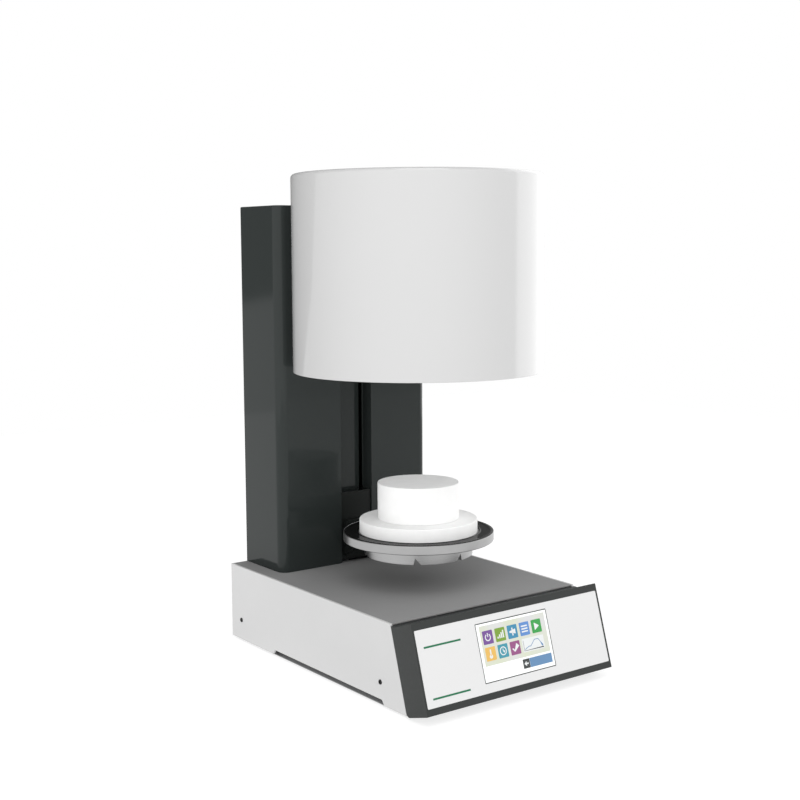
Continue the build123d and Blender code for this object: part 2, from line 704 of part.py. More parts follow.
def base_pan():
    """Folded tray: slotted floor, side flanges that take the panel screws, front flange."""
    front_y = slab_point(0, SLAB_T)[0] + PAN_SET
    side_top = PAN_Z + PAN_SIDE_H
    floor = block(-INNER_X, INNER_X, front_y, INNER_Y, PAN_Z, PAN_TOP)
    front = block(-INNER_X, INNER_X, front_y, front_y + PAN_T, PAN_Z, PAN_Z + PAN_FRONT_H)
    pan = floor + front
    for side in (-1, 1):
        outer = side * INNER_X
        inner = outer - side * PAN_T
        wall_front = front_y + PAN_FRONT_H
        pan = pan + block(outer, inner, wall_front, INNER_Y, PAN_Z, side_top)
        for y in side_screw_places():
            pan = pan - rod_x(y, Z0 + SIDE_SCREW_Z, outer + side, inner - side, SCREW_SHANK_R)
    opening = Rot(Z=90) * slot(PAN_SLOT_L, PAN_SLOT_W, 2 * PAN_T + 2 * OVER)
    for column in range(PAN_SLOTS):
        x = (column - (PAN_SLOTS - 1) / 2) * PAN_SLOT_STEP
        pan = pan - Pos(x, TABLE_Y, PAN_Z) * opening
    return pan


def rubber_feet():
    feet = []
    for side in (-1, 1):
        for y in (FRONT_Y + FOOT_FRONT_INSET, REAR_Y - FOOT_REAR_INSET):
            foot = rod(side * (SIDE_X - FOOT_INSET), y, 0, PAN_Z, FOOT_R)
            feet.append(chamfer(round_edges(foot).sort_by(Axis.Z)[0], FOOT_CHAMFER))
    return group(feet)


def base_top_plate():
    """Sheet between the side panels, folded down along its sides."""
    front_y = panel_front_y(BASE_TOP) + CLEAR
    fold_low = BASE_TOP - TOP_FOLD
    plate = front_profile(channel(INNER_X, TOP_T, fold_low, BASE_TOP), front_y, INNER_Y)
    corner = block(-INNER_X - OVER, INNER_X + OVER, front_y - OVER, front_y + TOP_FOLD_SET,
                   fold_low - OVER, BASE_TOP - TOP_T)
    half = MOTOR_W / 2 + MOTOR_OPENING
    opening = block(-half, half, LIFT_Y - half, LIFT_Y + half, BASE_TOP - TOP_T - OVER, BASE_TOP + OVER)
    cable = Pos(CABLE_X, LIFT_Y, BASE_TOP) * slot(CABLE_L, CABLE_W, 2 * TOP_T + 2 * OVER)
    return plate - corner - opening - cable


def rear_panel():
    """Sheet at the back, with its cut-outs and the fan's grille of slots."""
    y0 = REAR_Y - REAR_T
    panel = block(-INNER_X, INNER_X, y0, REAR_Y, Z0 + OVER, BASE_TOP - SHEET_GAP)
    y0 = y0 - OVER
    y1 = REAR_Y + OVER
    z = SOCKET_AXIS_Z
    for x, width, height in ((INLET_X, INLET_W, INLET_H),
                             (SWITCH_X, SWITCH_W + 2 * SWITCH_PANEL_GAP, SWITCH_H + 2 * SWITCH_PANEL_GAP)):
        panel = panel - block(x - width / 2, x + width / 2, y0, y1, z - height / 2, z + height / 2)
    panel = panel - rod_y(FUSE_X, z, y0, y1, FUSE_R) - rod_y(NIPPLE_X, z, y0, y1, NIPPLE_R + SHEET_GAP)
    reach = FAN_W / 2 - FAN_WALL - GRILLE_EDGE
    step = 2 * reach / GRILLE_SLOTS
    for index in range(GRILLE_SLOTS):
        dx = (index - (GRILLE_SLOTS - 1) / 2) * step
        length = 2 * math.sqrt(reach ** 2 - dx ** 2)
        opening = Rot(X=90) * Rot(Z=90) * slot(length, GRILLE_SLOT_W, 2 * REAR_T + 2 * OVER)
        panel = panel - Pos(FAN_X + dx, REAR_Y, FAN_AXIS_Z) * opening
    return panel


# ---------------------------------------------------------------- rear fittings
def power_inlet():
    """Three-pin mains socket with its flange, chamfered well and blades."""
    z = SOCKET_AXIS_Z
    half_w = INLET_W / 2
    half_h = INLET_H / 2
    flange = block(INLET_X - half_w - INLET_EAR, INLET_X + half_w + INLET_EAR, REAR_Y, REAR_Y + INLET_FLANGE_T,
                   z - half_h - INLET_LIP, z + half_h + INLET_LIP)
    flange = fillet(flange.edges().filter_by(Axis.Y), INLET_FLANGE_R)
    body_w = half_w - SHEET_GAP
    body_h = half_h - SHEET_GAP
    body = block(INLET_X - body_w, INLET_X + body_w, REAR_Y - INLET_DEPTH, REAR_Y, z - body_h, z + body_h)
    well_w = body_w - INLET_WALL
    well_h = body_h - INLET_WALL
    floor_y = REAR_Y - INLET_DEPTH + INLET_FLOOR
    mouth_y = REAR_Y + INLET_FLANGE_T + OVER
    well = block(INLET_X - well_w, INLET_X + well_w, floor_y, mouth_y, z - well_h, z + well_h)
    well = chamfer(well.edges().filter_by(Axis.Y).group_by(Axis.Z)[-1], INLET_CHAMFER)
    socket = flange + body - well
    for x, dz in ((-BLADE_X, BLADE_UP), (0, -BLADE_DOWN), (BLADE_X, BLADE_UP)):
        middle = INLET_X + x
        socket = socket + block(middle - BLADE_W / 2, middle + BLADE_W / 2, floor_y - OVER, REAR_Y - BLADE_SET,
                                z + dz - BLADE_H / 2, z + dz + BLADE_H / 2)
    return socket


def switch_frame():
    """Frame of the mains switch, with the rocker's two pivots."""
    z = SOCKET_AXIS_Z
    half_w = SWITCH_W / 2
    half_h = SWITCH_H / 2
    rim = block(SWITCH_X - half_w - SWITCH_RIM, SWITCH_X + half_w + SWITCH_RIM, REAR_Y, REAR_Y + SWITCH_RIM_T,
                z - half_h - SWITCH_RIM, z + half_h + SWITCH_RIM)
    rim = fillet(rim.edges().filter_by(Axis.Y), SWITCH_RIM_R)
    out_w = half_w + SWITCH_WALL
    out_h = half_h + SWITCH_WALL
    body = block(SWITCH_X - out_w, SWITCH_X + out_w, REAR_Y - SWITCH_DEPTH, REAR_Y, z - out_h, z + out_h)
    well = block(SWITCH_X - half_w, SWITCH_X + half_w, REAR_Y - SWITCH_WELL, REAR_Y + SWITCH_RIM_T + OVER,
                 z - half_h, z + half_h)
    frame = rim + body - well
    for side in (-1, 1):
        wall = SWITCH_X + side * half_w
        frame = frame + rod_x(REAR_Y + ROCKER_Y, z, wall, wall - side * PIVOT_L, PIVOT_R)
    return frame


def power_rocker():
    """Rocker with a dished face, tipped to its off side."""
    half_w = SWITCH_W / 2 - CLEAR
    tip = SWITCH_H / 2 - ROCKER_END_GAP
    outline = [(-ROCKER_BACK, -ROCKER_BACK_HALF), (ROCKER_FACE, -tip), (ROCKER_FACE - ROCKER_DISH, 0),
               (ROCKER_FACE, tip), (-ROCKER_BACK, ROCKER_BACK_HALF)]
    rocker = side_profile(outline, -half_w, half_w)
    for side in (-1, 1):
        rocker = rocker - rod_x(0, 0, side * (half_w + OVER), side * (half_w - PIVOT_L), PIVOT_R + RUN_GAP)
    return Pos(SWITCH_X, REAR_Y + ROCKER_Y, SOCKET_AXIS_Z) * Rot(X=ROCKER_TILT) * rocker


def fuse_holder():
    """Fuse holder with a slotted cap."""
    z = SOCKET_AXIS_Z
    front = REAR_Y + FUSE_CAP_T
    cap = rod_y(FUSE_X, z, REAR_Y, front, FUSE_R + FUSE_CAP_EDGE)
    cap = fillet(round_edges(cap).sort_by(Axis.Y)[-1], FUSE_CAP_R)
    cap = cap - block(FUSE_X - FUSE_SLOT_L / 2, FUSE_X + FUSE_SLOT_L / 2, front - OVER, front + OVER,
                      z - FUSE_SLOT_W / 2, z + FUSE_SLOT_W / 2)
    return cap + rod_y(FUSE_X, z, REAR_Y - FUSE_L, REAR_Y, FUSE_R - SHEET_GAP)


def vacuum_nipple():
    """Hose nipple for the vacuum pump, with its hexagon nut."""
    z = SOCKET_AXIS_Z
    stem = rod_y(NIPPLE_X, z, REAR_Y - NIPPLE_REACH, REAR_Y + NIPPLE_REACH, NIPPLE_R)
    stem = chamfer(round_edges(stem).sort_by(Axis.Y)[-1], NIPPLE_TIP)
    nut = Pos(NIPPLE_X, REAR_Y + NIPPLE_NUT_T / 2, z) * Rot(X=90) * hexagon(NIPPLE_NUT_R, NIPPLE_NUT_T)
    bore = rod_y(NIPPLE_X, z, REAR_Y - NIPPLE_REACH - OVER, REAR_Y + NIPPLE_REACH + OVER, NIPPLE_BORE_R)
    return stem + nut - bore


def vacuum_valve():
    """Solenoid valve between pump line and chamber line, on its leg."""
    z = SOCKET_AXIS_Z
    back = REAR_Y - NIPPLE_REACH - CLEAR
    middle = back - VALVE_L / 2
    half = VALVE_W / 2
    body = block(NIPPLE_X - half, NIPPLE_X + half, back - VALVE_L, back, z - VALVE_LOW, z + VALVE_HIGH)
    coil = rod(NIPPLE_X, middle, z + VALVE_HIGH, z + VALVE_HIGH + VALVE_COIL_H, VALVE_COIL_R)
    leg = block(NIPPLE_X - VALVE_LEG / 2, NIPPLE_X + VALVE_LEG / 2,
                middle - VALVE_LEG_L / 2, middle + VALVE_LEG_L / 2, PAN_TOP, z - VALVE_LOW)
    return body + coil + leg


def fan_frame():
    """Square fan frame: round duct, struts, hub plate and the shaft."""
    y0 = FAN_Y - FAN_T
    z = FAN_AXIS_Z
    half = FAN_W / 2
    frame = block(FAN_X - half, FAN_X + half, y0, FAN_Y, z - half, z + half)
    frame = fillet(frame.edges().filter_by(Axis.Y), FAN_EDGE_R)
    frame = frame - rod_y(FAN_X, z, y0 - OVER, FAN_Y + OVER, half - FAN_WALL)
    frame = frame + rod_y(FAN_X, z, y0, y0 + FAN_STRUT_T, FAN_HUB_R)
    for index in range(FAN_STRUTS):
        strut = block(0, half - FAN_WALL / 2, 0, FAN_STRUT_T, -FAN_STRUT_W / 2, FAN_STRUT_W / 2)
        frame = frame + Pos(FAN_X, y0, z) * Rot(Y=90 + index * 360 / FAN_STRUTS) * strut
    frame = frame + rod_y(FAN_X, z, y0, FAN_Y - GRILLE_EDGE, FAN_SHAFT_R)
    reach = half - FAN_HOLE_INSET
    for dx in (-reach, reach):
        for dz in (-reach, reach):
            frame = frame - rod_y(FAN_X + dx, z + dz, y0 - OVER, FAN_Y + OVER, FAN_HOLE_R)
    return frame


def fan_rotor():
    """Hub with pitched blades inside the duct."""
    y0 = FAN_Y - FAN_T + FAN_STRUT_T + CLEAR
    y1 = FAN_Y - FAN_WALL
    length = y1 - y0
    tip_r = FAN_W / 2 - FAN_WALL - FAN_TIP_GAP
    hub = Rot(X=90) * Cylinder(FAN_HUB_R, length)
    rotor = hub
    for index in range(FAN_BLADES):
        blade = Pos((FAN_HUB_R + tip_r) / 2, 0, 0) * Rot(X=FAN_BLADE_PITCH)
        blade = blade * Box(tip_r - FAN_HUB_R + 2 * OVER, length, FAN_BLADE_T)
        rotor = rotor + Rot(Y=index * 360 / FAN_BLADES) * blade
    rotor = rotor & (Rot(X=90) * Cylinder(tip_r, length))
    rotor = rotor - Rot(X=90) * Cylinder(FAN_SHAFT_R + RUN_GAP, length + 2 * OVER)
    return Pos(FAN_X, (y0 + y1) / 2, FAN_AXIS_Z) * rotor


# ---------------------------------------------------------------- electrics inside the base
def control_board():
    """Main circuit board on four spacers, with relays, processor, capacitor and terminals."""
    x0 = BOARD_SIDE - SIDE_X
    x1 = x0 + BOARD_W
    y0 = TABLE_Y - BOARD_FRONT
    y1 = y0 + BOARD_L
    low = PAN_TOP + BOARD_LIFT
    top = low + BOARD_T
    board = block(x0, x1, y0, y1, low, top)
    for x in (x0 + SPACER_INSET, x1 - SPACER_INSET):
        for y in (y0 + SPACER_INSET, y1 - SPACER_INSET):
            board = board + rod(x, y, PAN_TOP, low, SPACER_R)
    for index in range(RELAYS):
        x = x0 + RELAY_EDGE + index * RELAY_STEP
        y = y0 + RELAY_FRONT
        board = board + block(x, x + RELAY_W, y, y + RELAY_L, top, top + RELAY_H)
    x = x0 + RELAY_EDGE
    y = y0 + PROCESSOR_FRONT
    board = board + block(x, x + PROCESSOR_W, y, y + PROCESSOR_W, top, top + PROCESSOR_H)
    board = board + rod(x1 - CAPACITOR_EDGE, y0 + CAPACITOR_FRONT, top, top + CAPACITOR_H, CAPACITOR_R)
    y = y1 - TERMINAL_BACK - TERMINAL_L
    return board + block(x0 + TERMINAL_EDGE, x1 - TERMINAL_EDGE, y, y + TERMINAL_L, top, top + TERMINAL_H)


def power_transformer():
    """Laminated core with its winding through both windows."""
    x = SIDE_X - CORE_SIDE
    y = TABLE_Y - CORE_FRONT
    half_w = CORE_W / 2
    half_l = CORE_L / 2
    core = block(x - half_w, x + half_w, y - half_l, y + half_l, PAN_TOP, PAN_TOP + CORE_H)
    low = PAN_TOP + CORE_LIMB
    high = PAN_TOP + CORE_H - CORE_LIMB
    for edge in (x - half_w + CORE_LIMB, x + half_w - 2 * CORE_LIMB):
        core = core - block(edge, edge + CORE_LIMB, y - half_l - OVER, y + half_l + OVER, low, high)
    reach_x = half_w - CORE_LIMB - WINDING_GAP
    reach_y = half_l + WINDING_OUT
    winding = block(x - reach_x, x + reach_x, y - reach_y, y + reach_y, low + WINDING_GAP, high - WINDING_GAP)
    return core + fillet(winding.edges().filter_by(Axis.X), WINDING_R)


# ---------------------------------------------------------------- tower
def tower_outline(inset):
    """Plan of the tower: square at the back, rounded at the front."""
    plan = Pos(0, TOWER_Y + TOWER_DEPTH / 2) * Rectangle(TOWER_W - 2 * inset, TOWER_DEPTH - 2 * inset)
    corners = plan.vertices().group_by(Axis.Y)[0]
    return fillet(corners, TOWER_EDGE_R - inset)


def tower_shell():
    """Folded front, sides and top, with the lift groove and its two slots."""
    roof = TOWER_TOP - TOWER_WALL
    outer = Pos(0, 0, BASE_TOP) * extrude(tower_outline(0), TOWER_H)
    inner = Pos(0, 0, BASE_TOP - OVER) * extrude(tower_outline(TOWER_WALL), roof - BASE_TOP + OVER)
    lip_x = TOWER_W / 2 - TOWER_WALL - REAR_COVER_LIP
    back = block(-lip_x, lip_x, REAR_Y - TOWER_WALL - OVER, REAR_Y + OVER,
                 BASE_TOP - OVER, roof - REAR_COVER_LIP)
    half = GROOVE_W / 2
    lined = half + TOWER_WALL
    liner_y = TOWER_Y + TOWER_WALL / 2
    liner = block(-lined, lined, liner_y, GROOVE_SHEET_Y, BASE_TOP, GROOVE_TOP + TOWER_WALL)
    groove = block(-half, half, TOWER_Y - OVER, GROOVE_BACK_Y, BASE_TOP - OVER, GROOVE_TOP)
    shell = outer - inner - back + liner - groove
    for side in (-1, 1):
        x0 = side * (half - SLOT_EDGE)
        x1 = x0 - side * SLOT_W
        shell = shell - block(x0, x1, GROOVE_BACK_Y - OVER, GROOVE_SHEET_Y + OVER,
                              BASE_TOP - OVER, GROOVE_TOP)
    return shell


def tower_rear_cover():
    """Flat sheet on the tower's back, with two columns of cooling slots."""
    half = TOWER_W / 2 - TOWER_WALL - CLEAR
    cover = block(-half, half, COVER_SHEET_Y, REAR_Y - TOWER_WALL,
                  BASE_TOP + CLEAR, TOWER_TOP - TOWER_WALL - CLEAR)
    opening = Rot(X=90) * slot(VENT_ROW_L, VENT_ROW_W, 2 * REAR_COVER_T + 2 * OVER)
    for x in (-VENT_ROW_X, VENT_ROW_X):
        for row in range(VENT_ROWS):
            z = TOWER_TOP - VENT_ROW_TOP - row * VENT_ROW_STEP
            cover = cover - Pos(x, COVER_SHEET_Y, z) * opening
    return cover


def rear_cover_screws():
    """Button-head screws along the folded edges of the tower."""
    screws = []
    x = TOWER_W / 2 - TOWER_WALL - REAR_COVER_LIP / 2
    face = REAR_Y + COVER_SCREW_H
    for side in (-1, 1):
        for z in (BASE_TOP + COVER_SCREW_END, BASE_TOP + COVER_SCREW_MID, TOWER_TOP - COVER_SCREW_END):
            head = rod_y(side * x, z, REAR_Y, face, COVER_SCREW_R)
            head = fillet(round_edges(head).sort_by(Axis.Y)[-1], COVER_SCREW_EDGE_R)
            socket = Rot(X=90) * hexagon(COVER_SCREW_HEX_R, 2 * HEX_DEPTH)
            screws.append(head - Pos(side * x, face, z) * socket)
    return group(screws)


def column_frame():
    """Two folded uprights that carry bearing plates, rods and head."""
    uprights = []
    front = GROOVE_BACK_Y - UPRIGHT_SET
    back = COVER_SHEET_Y - UPRIGHT_GAP
    top = TOWER_TOP - TOWER_WALL - UPRIGHT_TOP
    for side in (-1, 1):
        outer = side * (TOWER_W / 2 - TOWER_WALL - UPRIGHT_GAP)
        web = outer - side * UPRIGHT_T
        edge = outer - side * UPRIGHT_FLANGE
        angle = [(outer, front), (edge, front), (edge, front + UPRIGHT_T), (web, front + UPRIGHT_T),
                 (web, back), (outer, back)]
        uprights.append(plan_profile(angle, BASE_TOP, top))
    return group(uprights)


# ---------------------------------------------------------------- drive
def bearing_plate(z):
    """Plate across the uprights, bored for the screw's bearing and both rods."""
    top = z + BEARING_PLATE_T
    front_y = GROOVE_SHEET_Y + BEARING_PLATE_SET
    plate = block(-PLATE_HALF, PLATE_HALF, front_y, COVER_SHEET_Y - BEARING_PLATE_BACK, z, top)
    plate = plate - rod(0, LIFT_Y, z - OVER, top + OVER, BEARING_R)
    for side in (-1, 1):
        plate = plate - rod(side * ROD_X, LIFT_Y, z - OVER, top + OVER, ROD_R)
        bolt_x = side * (PLATE_HALF - PLATE_BOLT_INSET)
        plate = plate - rod(bolt_x, LIFT_Y, z - OVER, top + OVER, PLATE_BOLT_R)
    return plate


def screw_bearings():
    """Bearings of the lead screw, one in each plate."""
    return group([tube(0, LIFT_Y, z, z + BEARING_PLATE_T, BEARING_R - RUN_GAP, JOURNAL_R + RUN_GAP)
                  for z in (LOWER_PLATE, UPPER_PLATE)])


def guide_rods():
    top = UPPER_PLATE + BEARING_PLATE_T - ROD_END
    return group([rod(x, LIFT_Y, LOWER_PLATE + ROD_END, top, ROD_R - ROD_SEAT) for x in (-ROD_X, ROD_X)])


def lead_screw():
    """Screw with turned journals at both ends."""
    low = LOWER_PLATE + BEARING_PLATE_T + CLEAR
    high = UPPER_PLATE - CLEAR
    screw = rod(0, LIFT_Y, low, high, LEAD_SCREW_R)
    screw = chamfer(round_edges(screw), LEAD_SCREW_END)
    foot = MOTOR_TOP + MOTOR_SHAFT_L + CLEAR
    top = UPPER_PLATE + BEARING_PLATE_T + JOURNAL_END
    print("lead screw: turns over the lift", round(LIFT_TRAVEL / SCREW_LEAD, 2))
    return screw + rod(0, LIFT_Y, foot, low, JOURNAL_R) + rod(0, LIFT_Y, high, top, JOURNAL_R)


def motor_coupling():
    """Clamp coupling between motor shaft and screw, grooved so that it flexes."""
    low = MOTOR_TOP + COUPLING_GAP
    high = low + COUPLING_H
    seat = MOTOR_TOP + MOTOR_SHAFT_L
    body = tube(0, LIFT_Y, low, high, COUPLING_R, MOTOR_SHAFT_R)
    body = body - rod(0, LIFT_Y, seat, high + OVER, JOURNAL_R)
    for index in range(COUPLING_GROOVES):
        z = (low + high) / 2 + (index - (COUPLING_GROOVES - 1) / 2) * COUPLING_GROOVE_STEP
        core_r = COUPLING_R - COUPLING_GROOVE_DEPTH
        body = body - tube(0, LIFT_Y, z, z + COUPLING_GROOVE_H, COUPLING_R + OVER, core_r)
    slit = block(-COUPLING_SLIT / 2, COUPLING_SLIT / 2, LIFT_Y - COUPLING_R - OVER, LIFT_Y,
                 low - OVER, high + OVER)
    return body - slit


def lift_motor():
    """Square stepper motor that hangs below the base top."""
    half = MOTOR_W / 2
    body = block(-half, half, LIFT_Y - half, LIFT_Y + half, MOTOR_TOP - MOTOR_H, MOTOR_TOP)
    body = chamfer(body.edges().filter_by(Axis.Z), MOTOR_CHAMFER)
    boss = rod(0, LIFT_Y, MOTOR_TOP, MOTOR_TOP + MOTOR_BOSS_H, MOTOR_BOSS_R)
    bore = rod(0, LIFT_Y, MOTOR_TOP - MOTOR_SHAFT_L - CLEAR, MOTOR_TOP + MOTOR_BOSS_H + OVER,
               MOTOR_SHAFT_R + RUN_GAP)
    return body + boss - bore


def motor_shaft():
    return rod(0, LIFT_Y, MOTOR_TOP - MOTOR_SHAFT_L, MOTOR_TOP + MOTOR_SHAFT_L, MOTOR_SHAFT_R - ROD_SEAT)


def motor_bracket():
    """Bent bracket that hangs the motor from the base top."""
    half = MOTOR_W / 2 + MOTOR_BRACKET_EDGE + MOTOR_BRACKET_T
    plate_top = MOTOR_TOP + MOTOR_BRACKET_T
    inner = half - MOTOR_BRACKET_T
    section = [(-half, MOTOR_TOP), (half, MOTOR_TOP), (half, BASE_TOP - TOP_T), (inner, BASE_TOP - TOP_T),
               (inner, plate_top), (-inner, plate_top), (-inner, BASE_TOP - TOP_T), (-half, BASE_TOP - TOP_T)]
    bracket = front_profile(section, LIFT_Y - MOTOR_W / 2, LIFT_Y + MOTOR_W / 2)
    return bracket - rod(0, LIFT_Y, MOTOR_TOP - OVER, plate_top + OVER, MOTOR_BOSS_R + SHEET_GAP)


# ---------------------------------------------------------------- carriage, arm and table
def carriage_block():
    """Block on both guide rods, bored for its bushes and for the nut."""
    high = BLOCK_Z + BLOCK_H
    body = block(-BLOCK_W / 2, BLOCK_W / 2, BLOCK_Y, BLOCK_Y + BLOCK_D, BLOCK_Z, high)
    body = chamfer(body.edges().filter_by(Axis.Z), BLOCK_CHAMFER)
    for x, radius in ((-ROD_X, BUSH_R), (0, NUT_R), (ROD_X, BUSH_R)):
        body = body - rod(x, LIFT_Y, BLOCK_Z - OVER, high + OVER, radius + RUN_GAP)
    return body


def carriage_bushes():
    """Linear bushes, one at each end of both bores."""
    bushes = []
    for x in (-ROD_X, ROD_X):
        for low in (BLOCK_Z, BLOCK_Z + BLOCK_H - BUSH_L):
            bushes.append(tube(x, LIFT_Y, low, low + BUSH_L, BUSH_R, ROD_R - ROD_SEAT + RUN_GAP))
    return group(bushes)


def screw_nut():
    """Nut in the block, with its flange below."""
    body = rod(0, LIFT_Y, BLOCK_Z, BLOCK_Z + NUT_L, NUT_R)
    flange = rod(0, LIFT_Y, BLOCK_Z - NUT_FLANGE_T, BLOCK_Z, NUT_FLANGE_R)
    bore = rod(0, LIFT_Y, BLOCK_Z - NUT_FLANGE_T - OVER, BLOCK_Z + NUT_L + OVER, LEAD_SCREW_R + RUN_GAP)
    return body + flange - bore


def carriage_cover():
    """Sliding plate in the groove, with two lugs back through the slots."""
    half = GROOVE_W / 2 - GROOVE_GAP
    plate = block(-half, half, COVER_Y, COVER_Y + COVER_T, COVER_Z, COVER_Z + COVER_H)
    plate = fillet(plate.edges().filter_by(Axis.Y), COVER_EDGE_R)
    low = COVER_Z + LUG_UP
    for x in (-LUG_X, LUG_X):
        plate = plate + block(x - LUG_T / 2, x + LUG_T / 2, COVER_Y + COVER_T, BLOCK_Y, low, low + LUG_H)
    return plate


def lift_arm():
    """Arm from the sliding plate to the table hub, with an upright pad and ribs."""
    half = ARM_W / 2
    pad_y = COVER_Y - ARM_PAD_T
    pad_top = ARM_TOP + ARM_PAD_UP
    pad_low = pad_top - ARM_PAD_H
    under = ARM_TOP - ARM_T
    pad = block(-half, half, pad_y, COVER_Y, pad_low, pad_top)
    pad = fillet(pad.edges().filter_by(Axis.Y), ARM_PAD_R)
    beam = block(-half, half, TABLE_Y, pad_y, under, ARM_TOP)
    arm = pad + beam + rod(0, TABLE_Y, under, FLANGE_Z, ARM_HUB_R)
    rib = [(pad_y, pad_low + RIB_UP), (pad_y, under), (pad_y - RIB_L, under)]
    for x in (-half, half - RIB_T):
        arm = arm + side_profile(rib, x, x + RIB_T)
    return arm


def table_skirt():
    """Collar below the flange, with a wider upper band and tapered tabs."""
    inner = SKIRT_R - SKIRT_WALL
    wide = SKIRT_R + SKIRT_STEP_OUT
    step = FLANGE_Z - SKIRT_STEP
    skirt = turned([(inner, SKIRT_Z), (SKIRT_R, SKIRT_Z), (SKIRT_R, step), (wide, step),
                    (wide, FLANGE_Z), (inner, FLANGE_Z)])
    reach = SKIRT_WALL + 2 * SKIRT_STEP_OUT + 2 * OVER
    for index in range(TAB_COUNT):
        for side in (-1, 1):
            turn = TAB_TURN + index * 360 / TAB_COUNT + side * TAB_HALF
            if abs(turn - 90) < ARM_KEEP:
                continue
            triangle = Polyline((0, -side * NOTCH_SLANT, -OVER), (0, side * NOTCH_STEEP, -OVER),
                                (0, 0, NOTCH_RISE), close=True)
            notch = extrude(make_face(triangle), reach, dir=(1, 0, 0))
            skirt = skirt - Pos(0, TABLE_Y, SKIRT_Z) * Rot(Z=turn) * Pos(inner - OVER, 0, 0) * notch
    half = ARM_W / 2 + SHEET_GAP
    return skirt - block(-half, half, TABLE_Y, TABLE_Y + wide + OVER, SKIRT_Z - OVER, ARM_TOP + SHEET_GAP)


def table_flange():
    """Turned flange with a seat for the disc and a recess for the seal."""
    seat_r = DISC_R + DISC_FIT
    seat_z = FLANGE_TOP - DISC_SEAT
    recess_r = DISC_R + SEAL_INNER
    recess_z = SEAL_TOP - SEAL_T
    lip_r = FLANGE_R - SEAL_LIP
    return turned([
        (0, FLANGE_Z), (FLANGE_R - FLANGE_CHAMFER, FLANGE_Z), (FLANGE_R, FLANGE_Z + FLANGE_CHAMFER),
        (FLANGE_R, FLANGE_TOP), (lip_r, FLANGE_TOP), (lip_r, recess_z), (recess_r, recess_z),
        (recess_r, FLANGE_TOP), (seat_r, FLANGE_TOP), (seat_r, seat_z), (0, seat_z),
    ])


def flange_seal():
    """Silicone ring in the flange's recess, a little proud of it."""
    inner = DISC_R + SEAL_INNER + SEAL_FIT
    outer = FLANGE_R - SEAL_LIP - SEAL_FIT
    low = SEAL_TOP - SEAL_T
    seal = turned([(inner, low), (outer, low), (outer, SEAL_TOP), (inner, SEAL_TOP)])
    return fillet(round_edges(seal).group_by(Axis.Z)[-1], SEAL_EDGE_R)


def table_disc():
    """Ceramic-fibre disc that closes the chamber's mouth, with the pedestal's socket."""
    floor = DISC_TOP - SPIGOT_H - CLEAR
    socket_r = SPIGOT_R + CLEAR
    low = FLANGE_TOP - DISC_SEAT
    disc = rod(0, TABLE_Y, low, DISC_TOP, DISC_R)
    disc = fillet(round_edges(disc).sort_by(Axis.Z)[-1], DISC_EDGE_R)
    return disc - rod(0, TABLE_Y, floor, DISC_TOP + OVER, socket_r)


def firing_pedestal():
    """Loose pedestal that carries the restorations; it lifts off by hand."""
    body = rod(0, TABLE_Y, DISC_TOP, DISC_TOP + PEDESTAL_H, PEDESTAL_R)
    body = fillet(round_edges(body), PEDESTAL_EDGE_R)
    return body + rod(0, TABLE_Y, DISC_TOP - SPIGOT_H, DISC_TOP + OVER, SPIGOT_R)


# ---------------------------------------------------------------- head
def around(count, radius, first):
    """Places on a circle round the table's axis, as (x, y, angle)."""
    places = []
    for index in range(count):
        angle = first + index * 360 / count
        x = radius * math.cos(math.radians(angle))
        y = TABLE_Y + radius * math.sin(math.radians(angle))
        places.append((x, y, angle))
    return places


def post_places():
    """Places (x, y) of the posts between lid and cover."""
    return [(x, y) for x, y, angle in around(POST_COUNT, POST_CIRCLE_R, 180 / POST_COUNT)]


def vent_places(radius):
    """Cooling slots on a circle, as far as the flat back leaves room."""
    limit = HEAD_BACK_Y - HEAD_WALL - VENT_KEEP - VENT_L / 2
    return [place for place in around(VENT_COUNT, radius, 180 / VENT_COUNT) if place[1] < limit]


def cover_hull(inset, low, high):
    """Round hull of the cover with its flat back, moved in by a wall."""
    radius = HEAD_R - inset
    hull = rod(0, TABLE_Y, low, high - inset, radius)
    hull = fillet(round_edges(hull).sort_by(Axis.Z)[-1], HEAD_EDGE_R - inset)
    back = block(-HEAD_R, HEAD_R, HEAD_BACK_Y - inset, TABLE_Y + HEAD_R + OVER, low - OVER, high + OVER)
    return hull - back


def head_cover():
    """Round cover, closed above, with a flat back against the tower."""
    shell = cover_hull(0, HEAD_Z, HEAD_TOP) - cover_hull(HEAD_WALL, HEAD_Z - OVER, HEAD_TOP)
    half = BRACKET_W / 2 + CLEAR
    shell = shell - block(-half, half, HEAD_BACK_Y - HEAD_WALL - OVER, HEAD_BACK_Y + OVER, HEAD_Z - OVER,
                          VESSEL_Z + BRACKET_H + OVER)
    opening = slot(VENT_L, VENT_W, 2 * HEAD_WALL + 2 * OVER)
    for x, y, angle in vent_places(HEAD_R - VENT_EDGE - VENT_L / 2):
        shell = shell - Pos(x, y, HEAD_TOP) * Rot(Z=angle) * opening
    for x, y in post_places():
        shell = shell - rod(x, y, HEAD_TOP - HEAD_WALL - OVER, HEAD_TOP + OVER, HEAD_SCREW_HOLE_R)
    return shell


def cover_posts():
    """Threaded posts on the lid that carry the cover's top."""
    top = HEAD_TOP - HEAD_WALL
    posts = []
    for x, y in post_places():
        thread = rod(x, y, top - HEAD_SCREW_L - OVER, top + OVER, POST_THREAD_R)
        posts.append(rod(x, y, LID_TOP, top, POST_R) - thread)
    return group(posts)


